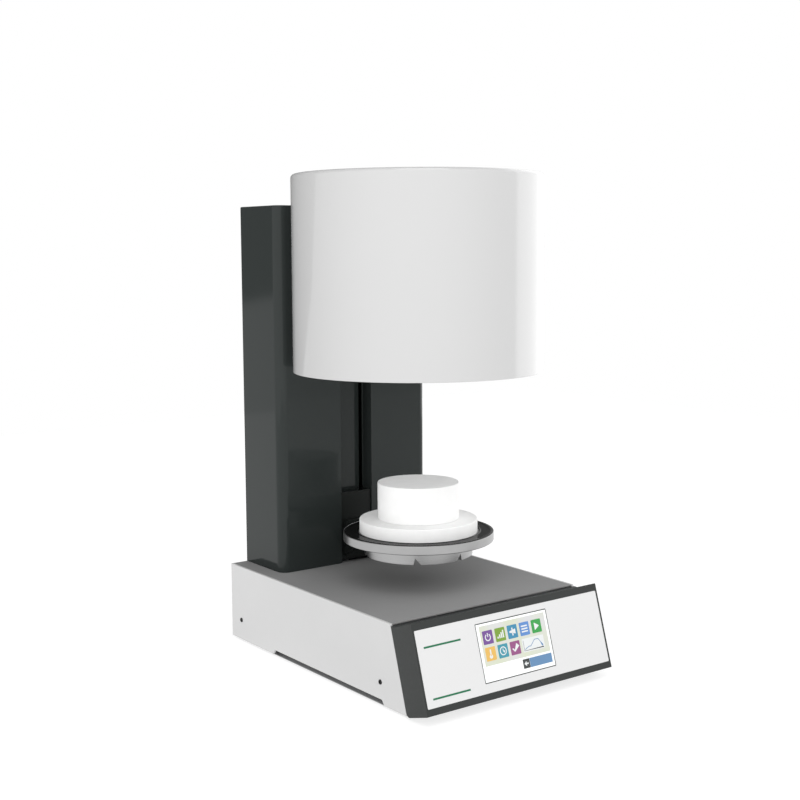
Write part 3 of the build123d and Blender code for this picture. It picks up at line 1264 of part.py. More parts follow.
def cover_screws():
    """Button-head screws in the cover's top."""
    screws = []
    high = HEAD_TOP + HEAD_SCREW_H
    for x, y in post_places():
        head = rod(x, y, HEAD_TOP, high, HEAD_SCREW_R)
        head = fillet(round_edges(head).sort_by(Axis.Z)[-1], HEAD_SCREW_EDGE_R)
        shank = rod(x, y, HEAD_TOP - HEAD_SCREW_L, HEAD_TOP, HEAD_SCREW_SHANK_R)
        screws.append(head + shank - Pos(x, y, high) * hexagon(HEAD_SCREW_HEX_R, 2 * HEX_DEPTH))
    return group(screws)


def chamber_plate():
    """Plate that the table seals against, cut flat at the tower, with air slots round the vessel."""
    back = HEAD_BACK_Y - HEAD_WALL - PLATE_EDGE_GAP
    plate_r = HEAD_R - HEAD_WALL - PLATE_EDGE_GAP
    plate = turned([(MOUTH_R, PLATE_Z), (plate_r, PLATE_Z), (plate_r, VESSEL_Z), (MOUTH_R, VESSEL_Z)])
    plate = plate - block(-HEAD_R, HEAD_R, back, TABLE_Y + HEAD_R + OVER, PLATE_Z - OVER, VESSEL_Z + OVER)
    opening = slot(INTAKE_L, INTAKE_W, 2 * PLATE_T + 2 * OVER)
    for x, y, angle in vent_places((VESSEL_R + HEAD_R) / 2):
        plate = plate - Pos(x, y, PLATE_Z) * Rot(Z=angle) * opening
    return plate


def vacuum_vessel():
    """Steel wall of the chamber, with the pump port at the back."""
    vessel = tube(0, TABLE_Y, VESSEL_Z, VESSEL_TOP, VESSEL_R, VESSEL_R - VESSEL_WALL)
    wall_y = TABLE_Y + VESSEL_R
    z = VESSEL_TOP - PORT_DROP
    port = rod_y(0, z, wall_y - VESSEL_WALL / 2, wall_y + PORT_L, PORT_R)
    return vessel + port - rod_y(0, z, wall_y - 2 * VESSEL_WALL, wall_y + PORT_L + OVER, PORT_BORE_R)


def vessel_lid():
    """Lid of the vessel, bored for the thermocouple."""
    bore = PROBE_R + PROBE_GAP
    edge = VESSEL_R + LID_EDGE
    return turned([(bore, VESSEL_TOP), (edge, VESSEL_TOP), (edge, LID_TOP - LID_CHAMFER),
                   (edge - LID_CHAMFER, LID_TOP), (bore, LID_TOP)])


def insulation(low, high, inner):
    """Ring of insulation inside the vessel."""
    return tube(0, TABLE_Y, low, high, LINING_R, inner)


def muffle_tube():
    """Quartz tube that lines the firing chamber."""
    return tube(0, TABLE_Y, RING_TOP, CEILING, MUFFLE_R, MUFFLE_R - MUFFLE_WALL)


def helix_point(turn, radius, z_start):
    """Point and unit tangent of the coil at a number of turns."""
    angle = 2 * math.pi * turn
    point = Vector(radius * math.cos(angle), radius * math.sin(angle), z_start + COIL_PITCH * turn)
    climb = COIL_PITCH / (2 * math.pi)
    tangent = Vector(-radius * math.sin(angle), radius * math.cos(angle), climb).normalized()
    return point, tangent


def biarc(p0, t0, p1, t1):
    """Two arcs that leave p0 along t0 and reach p1 along t1."""
    v = p1 - p0
    t = t0 + t1
    slack = 2 * (1 - t0.dot(t1))
    d = (-v.dot(t) + math.sqrt(v.dot(t) ** 2 + slack * v.dot(v))) / slack
    middle = (p0 + t0 * d + p1 - t1 * d) * 0.5
    bend = (p1 - t1 * d - p0 - t0 * d).normalized()
    return [Edge.make_tangent_arc(p0, t0, middle), Edge.make_tangent_arc(middle, bend, p1)]


def heating_coil():
    """Open heating coil on the muffle's inner wall, swept in quarter turns."""
    radius = MUFFLE_R - MUFFLE_WALL - LINING_GAP - COIL_WIRE_R
    z_start = RING_TOP + COIL_RISE
    quarters = 4
    nodes = [helix_point(step / quarters, radius, z_start) for step in range(COIL_TURNS * quarters + 1)]
    edges = []
    for (p0, t0), (p1, t1) in zip(nodes, nodes[1:]):
        edges += biarc(p0, t0, p1, t1)
    start, tangent = nodes[0]
    coil = sweep(Plane(origin=start, z_dir=tangent) * Circle(COIL_WIRE_R), path=Wire(edges))
    steps = [(q - p).length for (p, _), (q, _) in zip(nodes, nodes[quarters:])]
    print("heating coil: least gap between turns", round(min(steps) - 2 * COIL_WIRE_R, 2), "mm")
    return Pos(0, TABLE_Y, 0) * coil


def thermocouple():
    """Sheathed probe through the lid, with its terminal head."""
    sheath = rod(0, TABLE_Y, CEILING - PROBE_DROP, LID_TOP, PROBE_R)
    sheath = fillet(round_edges(sheath).sort_by(Axis.Z)[0], PROBE_TIP_R)
    head = rod(0, TABLE_Y, LID_TOP, LID_TOP + PROBE_HEAD_H, PROBE_HEAD_R)
    head = fillet(round_edges(head).sort_by(Axis.Z)[-1], PROBE_HEAD_EDGE_R)
    return sheath + head


def head_bracket():
    """Angle bracket with gussets: chamber base plate to tower front."""
    half = BRACKET_W / 2
    front = HEAD_BACK_Y - BRACKET_T
    high = VESSEL_Z + BRACKET_H
    window_x = half - BRACKET_EDGE
    bracket = block(-half, half, front, TOWER_Y, VESSEL_Z, high)
    bracket = bracket - block(-window_x, window_x, front - OVER, TOWER_Y + OVER,
                              VESSEL_Z + BRACKET_FOOT, high - BRACKET_HEAD)
    gusset = [(front, VESSEL_Z), (front, VESSEL_Z + GUSSET_H), (front - GUSSET_L, VESSEL_Z)]
    for x in (-half, half - GUSSET_T):
        bracket = bracket + side_profile(gusset, x, x + GUSSET_T)
    return bracket


# ---------------------------------------------------------------- write the sub-parts
PARTS = {
    "base_pan": base_pan(),
    "left_side_panel": side_panel(),
    "right_side_panel": mirrored(side_panel()),
    "side_panel_screws": side_panel_screws(),
    "base_top_plate": base_top_plate(),
    "rear_panel": rear_panel(),
    "rubber_feet": rubber_feet(),
    "control_housing": control_housing(),
    "front_overlay": front_overlay(),
    "touch_screen": touch_screen(),
    "display_module": display_module(),
    "display_board": display_board(),
    "control_board": control_board(),
    "power_transformer": power_transformer(),
    "vacuum_valve": vacuum_valve(),
    "power_inlet": power_inlet(),
    "switch_frame": switch_frame(),
    "power_rocker": power_rocker(),
    "fuse_holder": fuse_holder(),
    "vacuum_nipple": vacuum_nipple(),
    "fan_frame": fan_frame(),
    "fan_rotor": fan_rotor(),
    "tower_shell": tower_shell(),
    "tower_rear_cover": tower_rear_cover(),
    "rear_cover_screws": rear_cover_screws(),
    "column_frame": column_frame(),
    "lower_bearing_plate": bearing_plate(LOWER_PLATE),
    "upper_bearing_plate": bearing_plate(UPPER_PLATE),
    "screw_bearings": screw_bearings(),
    "guide_rods": guide_rods(),
    "lead_screw": lead_screw(),
    "motor_coupling": motor_coupling(),
    "motor_shaft": motor_shaft(),
    "lift_motor": lift_motor(),
    "motor_bracket": motor_bracket(),
    "carriage_block": carriage_block(),
    "carriage_bushes": carriage_bushes(),
    "screw_nut": screw_nut(),
    "carriage_cover": carriage_cover(),
    "lift_arm": lift_arm(),
    "table_skirt": table_skirt(),
    "table_flange": table_flange(),
    "flange_seal": flange_seal(),
    "table_disc": table_disc(),
    "firing_pedestal": firing_pedestal(),
    "head_cover": head_cover(),
    "cover_posts": cover_posts(),
    "cover_screws": cover_screws(),
    "chamber_plate": chamber_plate(),
    "vacuum_vessel": vacuum_vessel(),
    "vessel_lid": vessel_lid(),
    "mouth_ring": insulation(VESSEL_Z, RING_TOP, MOUTH_R),
    "chamber_lining": insulation(RING_TOP, CEILING, MUFFLE_R + LINING_GAP),
    "muffle_tube": muffle_tube(),
    "roof_block": insulation(CEILING, VESSEL_TOP, PROBE_R + PROBE_GAP),
    "heating_coil": heating_coil(),
    "thermocouple": thermocouple(),
    "head_bracket": head_bracket(),
}

for node, shape in PARTS.items():
    save(shape, node)
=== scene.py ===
import json
import math

import bmesh
import bpy
from mathutils import Matrix, Vector


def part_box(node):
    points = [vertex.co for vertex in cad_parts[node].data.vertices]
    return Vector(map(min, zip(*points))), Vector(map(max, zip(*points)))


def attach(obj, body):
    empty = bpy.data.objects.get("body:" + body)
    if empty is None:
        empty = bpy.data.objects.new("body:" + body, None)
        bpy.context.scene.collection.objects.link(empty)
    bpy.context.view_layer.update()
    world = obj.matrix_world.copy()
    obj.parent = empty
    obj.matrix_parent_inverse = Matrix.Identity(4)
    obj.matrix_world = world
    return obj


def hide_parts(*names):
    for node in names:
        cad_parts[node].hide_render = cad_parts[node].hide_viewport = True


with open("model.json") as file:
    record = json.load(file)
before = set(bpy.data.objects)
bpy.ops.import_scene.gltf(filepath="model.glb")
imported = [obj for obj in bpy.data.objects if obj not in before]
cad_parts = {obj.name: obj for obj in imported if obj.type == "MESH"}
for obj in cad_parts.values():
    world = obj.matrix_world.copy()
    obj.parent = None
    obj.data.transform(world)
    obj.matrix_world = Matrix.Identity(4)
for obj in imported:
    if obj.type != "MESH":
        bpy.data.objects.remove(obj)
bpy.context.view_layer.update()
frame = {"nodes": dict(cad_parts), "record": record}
NODES = frame["nodes"]

MM = 0.001                   # meshes are drawn in millimetres and scaled to metres
ARC_STEPS = 10               # steps of a rounded corner
SMALL_ARC_STEPS = 6          # the same on turned profiles and slots
SIGN_ARC_STEPS = 4           # the same on the display's picture
ROUND = 192                  # steps of a full turn
SHARP = math.radians(32)     # edges above this angle stay sharp, or are bevelled
FLAT = math.radians(0.6)     # faces that differ by less become one
MERGE = 0.0001               # points nearer than this become one
COPY_MERGE = 0.002           # the same for meshes of the frame
FACE_WEIGHT = 90             # how far large faces set the shading of their edges

# ---------------------------------------------------------------- sizes that the frame's boxes don't give
# In millimetres. All others are read from the frame.
OVER = 1.0                   # how far a cutter reaches past what it cuts

TOWER_WALL = 1.5
TOWER_EDGE_R = 11.0          # front uprights
TOWER_REAR_R = 0.8
TOWER_LEAST_R = 0.2          # of a corner at the rounded top
TOP_EDGE_R = 1.4
TOP_EDGE_STEPS = 5
REAR_LIP = 9.0               # folded edge that carries the rear cover
GROOVE_W = 43.4
GROOVE_DEPTH = 17.5
GROOVE_H = 270.4
SLOT_W = 5.2                 # slots in the groove's back, for the lugs of the sliding plate
SLOT_EDGE = 0.8

HEAD_R = 136.0
HEAD_WALL = 1.5
HEAD_EDGE_R = 4.0
HEAD_RIM_R = 0.6
HEAD_RIM_STEPS = 4
BRACKET_W = 118.6            # window in the cover's flat back
BRACKET_H = 144.0
VENT_COUNT = 24
VENT_EDGE = 14.0
VENT_L = 18.0
VENT_W = 5.0
VENT_KEEP = 8.0              # from the slots to the flat back
VENT_DEPTH = 4.0             # of the cutters for slots and holes
POST_COUNT = 4
POST_CIRCLE_R = 92.0
POST_HOLE_R = 2.2
HOLE_STEPS = 24

LEAN = math.radians(17.0)    # the slab leans back
SLAB_T = 34.0
SLAB_L = 90.39
SLAB_LOW = 8.3
SLAB_FOOT_R = 5.0
SLAB_LEDGE = 6.5
SLAB_WALL = 2.5
CAVITY_BOTTOM = 4.5
CAVITY_TOP = 6.0
SLAB_CUT = 3.0               # how far the slab's cutters stand out of its face
SLAB_EDGE_R = 0.8            # corners of the slab's section: lower, upper, rear
SLAB_TOP_R = 1.0
SLAB_REAR_R = 0.5
LABEL_T = 0.6
LABEL_SIDE = 2.2
LABEL_TOP = 7.6
LABEL_BOTTOM = 6.8
LABEL_GAP = 0.2
LABEL_R = 1.2
FILM_R = 1.1
SCREEN_W = 96.4
SCREEN_UP = 9.6
SCREEN_DOWN = 6.8
SCREEN_GAP = 0.2
SCREEN_R = 0.8
GLASS_R = 0.7
SCREEN_LOW = LABEL_BOTTOM + SCREEN_UP
SCREEN_HIGH = SLAB_L - LABEL_TOP - SCREEN_DOWN
GLASS_FRONT = 0.1            # into the slab
GLASS_BACK = 1.7
FOOT_GAP = 3.0

DISC_R = 65.3
SPIGOT_R = 20.0              # locates the pedestal in the disc
SPIGOT_H = 5.0
SPIGOT_GAP = 0.3
SPIGOT_EDGE_R = 0.6
PEDESTAL_EDGE_R = 0.9
DISC_EDGE_R = 0.5
DISC_TOP_R = 1.0
FLANGE_EDGE_R = 0.9
FLANGE_TOP_R = 0.35
FLANGE_LIP_R = 0.2
SEAT_GAP = 0.2               # disc to flange
RECESS_GAP = 1.0             # disc to the seal's recess
SEAL_GAP = 1.1               # disc to seal
SEAL_LIP = 1.2
# The seal's section: from its outer or its inner edge, down from its top, corner radius.
SEAL_OUTER = ((0.0, 0.5, 0.3), (2.2, 0.0, 1.4), (5.0, 0.5, 1.4))
SEAL_INNER = ((3.0, 0.5, 1.0), (1.4, 0.0, 0.8), (0.0, 0.4, 0.3))
SKIRT_WALL = 5.0
SKIRT_STEP = 3.2
SKIRT_STEP_OUT = 1.2
SKIRT_EDGE_R = 0.3
SKIRT_FOOT_R = 0.4
TAB_COUNT = 3
TAB_TURN = -104.5            # in degrees, as are the next and ARM_KEEP
TAB_HALF = 26.5
NOTCH_STEEP = 2.1
NOTCH_SLANT = 7.5
NOTCH_RISE = 7.5
ARM_TURN = 90.0              # direction of the arm, in degrees, with no notch nearer than ARM_KEEP
ARM_KEEP = 30.0
ARM_W = 34.4
ARM_STEP = 5.9               # from the arm's top down to the top of the collar's gap

SIDE_SCREW_R = 2.6
SIDE_SCREW_H = 0.9
SIDE_SCREW_EDGE_R = 0.7
SIDE_SCREW_SHANK = 1.5
SIDE_SCREW_L = 5.8
SIDE_SCREW_TIP_R = 0.3
SIDE_SCREW_HEX_R = 1.4
SIDE_SCREW_HEX_DEPTH = 0.6
SIDE_SCREW_STEPS = 48

PRINT_BACK = 0.1             # layers of the display's picture: depths into the slab
PANEL_FRONT = 0.09
TILE_FRONT = 0.07
SIGN_FRONT = 0.05
TILE_W = 13.2
TILE_H = 13.6
TILE_PITCH = 16.4
TILE_LEFT = 7.4
TILE_COLUMNS = 5
TILE_ROWS = (8.5, 25.1)
TILE_R = 0.9
BAND_STEPS = 32
BORDER_W = 0.8
BORDER_R = 0.3
TILE_TINTS = (
    (0.12, 0.04, 0.22), (0.13, 0.25, 0.006), (0.015, 0.19, 0.33), (0.07, 0.19, 0.46),
    (0.006, 0.25, 0.03), (0.62, 0.37, 0.07), (0.02, 0.22, 0.29), (0.22, 0.044, 0.16))
CHART_CURVE = ((2.5, 11.0), (8.0, 8.6), (11.0, 8.6), (17.0, 3.0), (22.0, 3.0), (24.5, 6.4), (27.0, 10.8))
CHART_AXES = ((1.6, 1.6), (1.6, 12.2), (28.2, 12.2))
# Start and end from the overlay's left edge, and middle down from its top.
STRIPES = ((8.1, 54.1, 17.9), (8.3, 55.2, 67.6))
STRIPE_H = 1.9
STRIPE_R = 0.2
STRIPE_FRONT = -0.03
STRIPE_BACK = 0.01


def mm_box(node):
    """Lowest and highest corner of a CAD node, in millimetres."""
    low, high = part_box(node)
    return low / MM, high / MM


TABLE_Y = sum(corner.y for corner in mm_box("firing_pedestal")) / 2


# ---------------------------------------------------------------- meshes
def arc_corner(before, corner, after, radius, steps=ARC_STEPS):
    """Points of a corner rounded to a radius."""
    a = (Vector(before) - Vector(corner)).normalized()
    b = (Vector(after) - Vector(corner)).normalized()
    if radius <= 0:
        return [tuple(corner)]
    half = a.angle(b) / 2
    centre = Vector(corner) + (a + b).normalized() * (radius / math.sin(half))
    start = Vector(corner) + a * (radius / math.tan(half)) - centre
    end = Vector(corner) + b * (radius / math.tan(half)) - centre
    turn = start.angle_signed(end)
    points = []
    for step in range(steps + 1):
        angle = -turn * step / steps
        c, s = math.cos(angle), math.sin(angle)
        points.append((centre.x + start.x * c - start.y * s, centre.y + start.x * s + start.y * c))
    return points


def rounded(corners, steps=ARC_STEPS):
    """Closed outline from (x, y, radius) corners."""
    points = []
    count = len(corners)
    for index, (x, y, radius) in enumerate(corners):
        before = corners[index - 1][:2]
        after = corners[(index + 1) % count][:2]
        points += arc_corner(before, (x, y), after, radius, steps)
    return points


def circle(x, y, radius, steps):
    """Points of a circle, or of a regular polygon."""
    angles = [2 * math.pi * step / steps for step in range(steps)]
    return [(x + radius * math.cos(a), y + radius * math.sin(a)) for a in angles]


def quarter(radius, steps=ARC_STEPS):
    """(inset, drop) pairs of a rounded edge, from its side to its top."""
    angles = [math.pi / 2 * step / steps for step in range(steps + 1)]
    return [(radius * (1 - math.cos(a)), radius * (1 - math.sin(a))) for a in angles]


def mesh_object(name, bm):
    """Object from a mesh drawn in millimetres."""
    bmesh.ops.remove_doubles(bm, verts=bm.verts, dist=MERGE)
    bmesh.ops.recalc_face_normals(bm, faces=bm.faces)
    bmesh.ops.scale(bm, vec=(MM, MM, MM), verts=bm.verts)
    mesh = bpy.data.meshes.new(name)
    bm.to_mesh(mesh)
    bm.free()
    obj = bpy.data.objects.new(name, mesh)
    bpy.context.collection.objects.link(obj)
    return obj


def prism(name, points, low, high, axes="xyz"):
    """Prism from an outline in the first two axes, along the third."""
    order = ["xyz".index(axis) for axis in axes]
    bm = bmesh.new()
    rings = []
    for level in (low, high):
        ring = []
        for u, v in points:
            co = [0.0, 0.0, 0.0]
            co[order[0]], co[order[1]], co[order[2]] = u, v, level
            ring.append(bm.verts.new(co))
        rings.append(ring)
    count = len(points)
    for index in range(count):
        after = (index + 1) % count
        bm.faces.new((rings[0][index], rings[0][after], rings[1][after], rings[1][index]))
    bm.faces.new(rings[0][::-1])
    bm.faces.new(rings[1])
    return mesh_object(name, bm)


def cuboid(name, x, y, z):
    """Box between pairs of coordinates."""
    return prism(name, [(x[0], y[0]), (x[1], y[0]), (x[1], y[1]), (x[0], y[1])], z[0], z[1])


def turned(name, corners, x=0.0, y=None, steps=ROUND):
    """Turned solid on an upright axis, by default the table's, from (radius, z, corner radius) corners."""
    if y is None:
        y = TABLE_Y
    profile = rounded(corners, SMALL_ARC_STEPS)
    bm = bmesh.new()
    rings = []
    for step in range(steps):
        angle = 2 * math.pi * step / steps
        c, s = math.cos(angle), math.sin(angle)
        rings.append([bm.verts.new((x + r * c, y + r * s, z)) for r, z in profile])
    count = len(profile)
    for step in range(steps):
        ring, following = rings[step], rings[(step + 1) % steps]
        for index in range(count):
            after = (index + 1) % count
            flat = profile[index][0] < 1e-6 and profile[after][0] < 1e-6
            if not flat:
                bm.faces.new((ring[index], following[index], following[after], ring[after]))
    return mesh_object(name, bm)


def shell_of_rings(name, rings):
    """Closed skin over a stack of equal plan outlines, each a (points, z) pair."""
    bm = bmesh.new()
    levels = [[bm.verts.new((x, y, z)) for x, y in points] for points, z in rings]
    for lower, upper in zip(levels, levels[1:]):
        count = len(lower)
        for index in range(count):
            after = (index + 1) % count
            bm.faces.new((lower[index], lower[after], upper[after], upper[index]))
    bm.faces.new(levels[0][::-1])
    bm.faces.new(levels[-1])
    return mesh_object(name, bm)


def combine(obj, other, operation="DIFFERENCE"):
    """Cuts another solid from an object, or joins it, and removes the other."""
    step = obj.modifiers.new("combine", "BOOLEAN")
    step.operation = operation
    step.solver = "EXACT"
    step.object = other
    depsgraph = bpy.context.evaluated_depsgraph_get()
    mesh = bpy.data.meshes.new_from_object(obj.evaluated_get(depsgraph))
    obj.modifiers.clear()
    old = obj.data
    obj.data = mesh
    bpy.data.meshes.remove(old)
    bpy.data.objects.remove(other)
    return obj


def joined(name, parts):
    """One mesh from several separate ones."""
    bm = bmesh.new()
    for part in parts:
        bm.from_mesh(part.data)
        bpy.data.objects.remove(part)
    bmesh.ops.scale(bm, vec=(1 / MM, 1 / MM, 1 / MM), verts=bm.verts)
    return mesh_object(name, bm)


def copied(node, name):
    """A CAD node's own shape as a new piece, with its flat faces made whole."""
    bm = bmesh.new()
    bm.from_mesh(NODES[node].data)
    bmesh.ops.scale(bm, vec=(1 / MM, 1 / MM, 1 / MM), verts=bm.verts)
    bmesh.ops.remove_doubles(bm, verts=bm.verts, dist=COPY_MERGE)
    bmesh.ops.dissolve_limit(bm, angle_limit=FLAT, verts=bm.verts, edges=bm.edges)
    return mesh_object(name, bm)


def dress(obj, body, slot, material, nodes=(), bevel=0.0, segments=3):
    """Smooth shading, bevelled edges, material, and the piece's place in the frame."""
    mesh = obj.data
    materials = material if isinstance(material, list) else [material]
    if mesh.materials:
        mesh.materials.clear()
    for finish in materials:
        mesh.materials.append(finish)
    for face in mesh.polygons:
        face.use_smooth = True
    if bevel:
        edge = obj.modifiers.new("edges", "BEVEL")
        edge.width = bevel * MM
        edge.segments = segments
        edge.limit_method = "ANGLE"
        edge.angle_limit = SHARP
        edge.harden_normals = True
        edge.use_clamp_overlap = True
    mesh.set_sharp_from_angle(angle=SHARP)
    level = obj.modifiers.new("level", "WEIGHTED_NORMAL")
    level.weight = FACE_WEIGHT
    level.keep_sharp = True
    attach(obj, body)
    if nodes:
        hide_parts(*nodes)
    return obj


# ---------------------------------------------------------------- materials
COAT_ROUGHNESS = 0.03
DISPLAY_GLOW = 0.25


class Shader:
    """Node material around one Principled shader, with object coordinates in metres."""

    def __init__(self, name, colour, roughness, metallic=0.0, coat=0.0):
        self.material = bpy.data.materials.new(name)
        self.material.use_nodes = True
        self.tree = self.material.node_tree
        self.bsdf = self.tree.nodes["Principled BSDF"]
        self.colour = colour
        self.bsdf.inputs["Base Color"].default_value = (*colour, 1.0)
        self.bsdf.inputs["Roughness"].default_value = roughness
        self.bsdf.inputs["Metallic"].default_value = metallic
        self.bsdf.inputs["Coat Weight"].default_value = coat
        self.bsdf.inputs["Coat Roughness"].default_value = COAT_ROUGHNESS
        self.place = self.add("ShaderNodeTexCoord").outputs["Object"]

    def add(self, kind, **settings):
        node = self.tree.nodes.new(kind)
        for key, value in settings.items():
            setattr(node, key, value)
        return node

    def link(self, start, end):
        self.tree.links.new(start, end)

    def stretched(self, scale, offset=(0.0, 0.0, 0.0)):
        """Object coordinates moved and scaled."""
        mapping = self.add("ShaderNodeMapping")
        mapping.inputs["Location"].default_value = offset
        mapping.inputs["Scale"].default_value = scale
        self.link(self.place, mapping.inputs["Vector"])
        return mapping.outputs["Vector"]

    def noise(self, scale, detail=3.0, roughness=0.55, vector=None):
        """Noise about 0.5, in the object's own coordinates or others."""
        node = self.add("ShaderNodeTexNoise")
        node.inputs["Scale"].default_value = scale
        node.inputs["Detail"].default_value = detail
        node.inputs["Roughness"].default_value = roughness
        self.link(vector if vector is not None else self.place, node.inputs["Vector"])
        return node.outputs["Fac"]

    def ranged(self, value, low, high, start=0.25, end=0.75):
        """A value moved from one range to another. The first is by default where a noise's values lie."""
        node = self.add("ShaderNodeMapRange")
        node.inputs["From Min"].default_value = start
        node.inputs["From Max"].default_value = end
        node.inputs["To Min"].default_value = low
        node.inputs["To Max"].default_value = high
        self.link(value, node.inputs["Value"])
        return node.outputs["Result"]

    def mottled(self, value, amount, other=None):
        """Base colour that varies a little with a value."""
        node = self.add("ShaderNodeMix", data_type="RGBA")
        darker = other or tuple(c * (1.0 - amount) for c in self.colour)
        node.inputs["A"].default_value = (*darker, 1.0)
        node.inputs["B"].default_value = (*self.colour, 1.0)
        self.link(self.ranged(value, 0.0, 1.0), node.inputs["Factor"])
        self.link(node.outputs["Result"], self.bsdf.inputs["Base Color"])

    def rough(self, value, low, high):
        """Roughness between two values."""
        self.link(self.ranged(value, low, high), self.bsdf.inputs["Roughness"])

    def bumped(self, height, depth):
        """Relief of a depth in metres."""
        node = self.add("ShaderNodeBump")
        node.inputs["Strength"].default_value = 1.0
        node.inputs["Distance"].default_value = depth
        self.link(height, node.inputs["Height"])
        self.link(node.outputs["Normal"], self.bsdf.inputs["Normal"])


def paint(name, colour, roughness, coat=0.0, peel=650.0, depth=0.000012, spread=0.04, specular=0.5,
          gloss=0.14):
    """Sprayed or powder-coated paint: orange peel, faint clouds, uneven gloss."""
    s = Shader(name, colour, roughness, coat=coat)
    s.bsdf.inputs["Specular IOR Level"].default_value = specular
    s.mottled(s.noise(9.0, 4.0), spread)
    s.rough(s.noise(38.0, 3.0), roughness * (1 - gloss), roughness * (1 + gloss))
    s.bumped(s.noise(peel, 2.0), depth)
    return s.material


def powder(name, colour, roughness, specular=0.3):
    """Coarser powder coat on sheet metal."""
    return paint(name, colour, roughness, peel=1100.0, depth=0.00003, spread=0.05, specular=specular)


def moulded(name, colour, roughness, specular=0.5):
    """Moulded plastic with a fine eroded grain."""
    s = Shader(name, colour, roughness)
    s.bsdf.inputs["Specular IOR Level"].default_value = specular
    s.mottled(s.noise(24.0, 3.0), 0.12)
    s.rough(s.noise(420.0, 2.0), roughness * 0.85, roughness * 1.15)
    s.bumped(s.noise(2600.0, 2.0), 0.00002)
    return s.material


def metal(name, colour, roughness, along=(1.0, 1.0, 40.0), depth=0.000006):
    """Drawn or brushed metal, with its lines across the squeezed axis."""
    s = Shader(name, colour, roughness, metallic=1.0)
    lines = s.noise(220.0, 4.0, 0.6, s.stretched(along))
    s.mottled(s.noise(14.0, 3.0), 0.1)
    s.rough(lines, roughness * 0.8, roughness * 1.25)
    s.bumped(lines, depth)
    return s.material


def turned_metal(name, colour, roughness):
    """Metal turned on the table's axis, with fine rings from the tool."""
    s = Shader(name, colour, roughness, metallic=1.0)
    centred = s.stretched((1.0, 1.0, 1.0), (0.0, -TABLE_Y * MM, 0.0))
    flat = s.add("ShaderNodeVectorMath", operation="MULTIPLY")
    flat.inputs[1].default_value = (1.0, 1.0, 0.0)
    s.link(centred, flat.inputs[0])
    radius = s.add("ShaderNodeVectorMath", operation="LENGTH")
    s.link(flat.outputs["Vector"], radius.inputs[0])
    height = s.add("ShaderNodeSeparateXYZ")
    s.link(centred, height.inputs["Vector"])
    rings = s.add("ShaderNodeCombineXYZ")
    s.link(radius.outputs["Value"], rings.inputs["X"])
    s.link(height.outputs["Z"], rings.inputs["Y"])
    lines = s.noise(1500.0, 3.0, 0.6, rings.outputs["Vector"])
    s.mottled(s.noise(30.0, 3.0), 0.1)
    s.rough(lines, roughness * 0.8, roughness * 1.25)
    s.bumped(lines, 0.000008)
    return s.material


def fibre(name, colour, roughness=0.85):
    """Vacuum-formed ceramic fibre: matte, finely pitted, faintly clouded."""
    s = Shader(name, colour, roughness)
    s.mottled(s.noise(70.0, 5.0, 0.6), 0.05)
    pits = s.noise(900.0, 4.0, 0.7)
    s.bumped(pits, 0.00006)
    return s.material


def rubber(name, colour, roughness, depth=0.00001, specular=0.5):
    """Moulded rubber: clouded, uneven gloss, fine grain."""
    s = Shader(name, colour, roughness)
    s.bsdf.inputs["Specular IOR Level"].default_value = specular
    s.mottled(s.noise(60.0, 3.0), 0.25)
    s.rough(s.noise(300.0, 3.0), roughness * 0.8, roughness * 1.2)
    s.bumped(s.noise(1400.0, 2.0), depth)
    return s.material


def laminate(name, colour):
    """Circuit board: solder mask with copper tracks and tinned pads."""
    s = Shader(name, colour, 0.32, coat=0.3)
    weave = s.noise(1200.0, 1.0, 0.5, s.stretched((1.0, 0.1, 1.0)))
    tracks = s.add("ShaderNodeTexBrick")
    tracks.inputs["Scale"].default_value = 120.0
    tracks.inputs["Mortar Size"].default_value = 0.035
    tracks.inputs["Color1"].default_value = (*colour, 1.0)
    tracks.inputs["Color2"].default_value = (*(c * 0.8 for c in colour), 1.0)
    tracks.inputs["Mortar"].default_value = (*(min(1.0, c * 1.9) for c in colour), 1.0)
    s.link(s.place, tracks.inputs["Vector"])
    s.link(tracks.outputs["Color"], s.bsdf.inputs["Base Color"])
    s.bumped(weave, 0.00001)
    return s.material


def glowing(name, colour, other=None):
    """Lit picture of a display under its glass, clouded with another colour."""
    s = Shader(name, colour, 0.12, coat=1.0)
    other = other or tuple(c * 0.94 for c in colour)
    clouds = s.noise(38.0, 1.0)
    s.mottled(clouds, 0.0, other)
    s.rough(s.noise(240.0, 2.0), 0.1, 0.16)
    emission = s.add("ShaderNodeMix", data_type="RGBA")
    emission.inputs["A"].default_value = (*other, 1.0)
    emission.inputs["B"].default_value = (*colour, 1.0)
    s.link(s.ranged(clouds, 0.0, 1.0), emission.inputs["Factor"])
    s.link(emission.outputs["Result"], s.bsdf.inputs["Emission Color"])
    s.bsdf.inputs["Emission Strength"].default_value = DISPLAY_GLOW
    return s.material


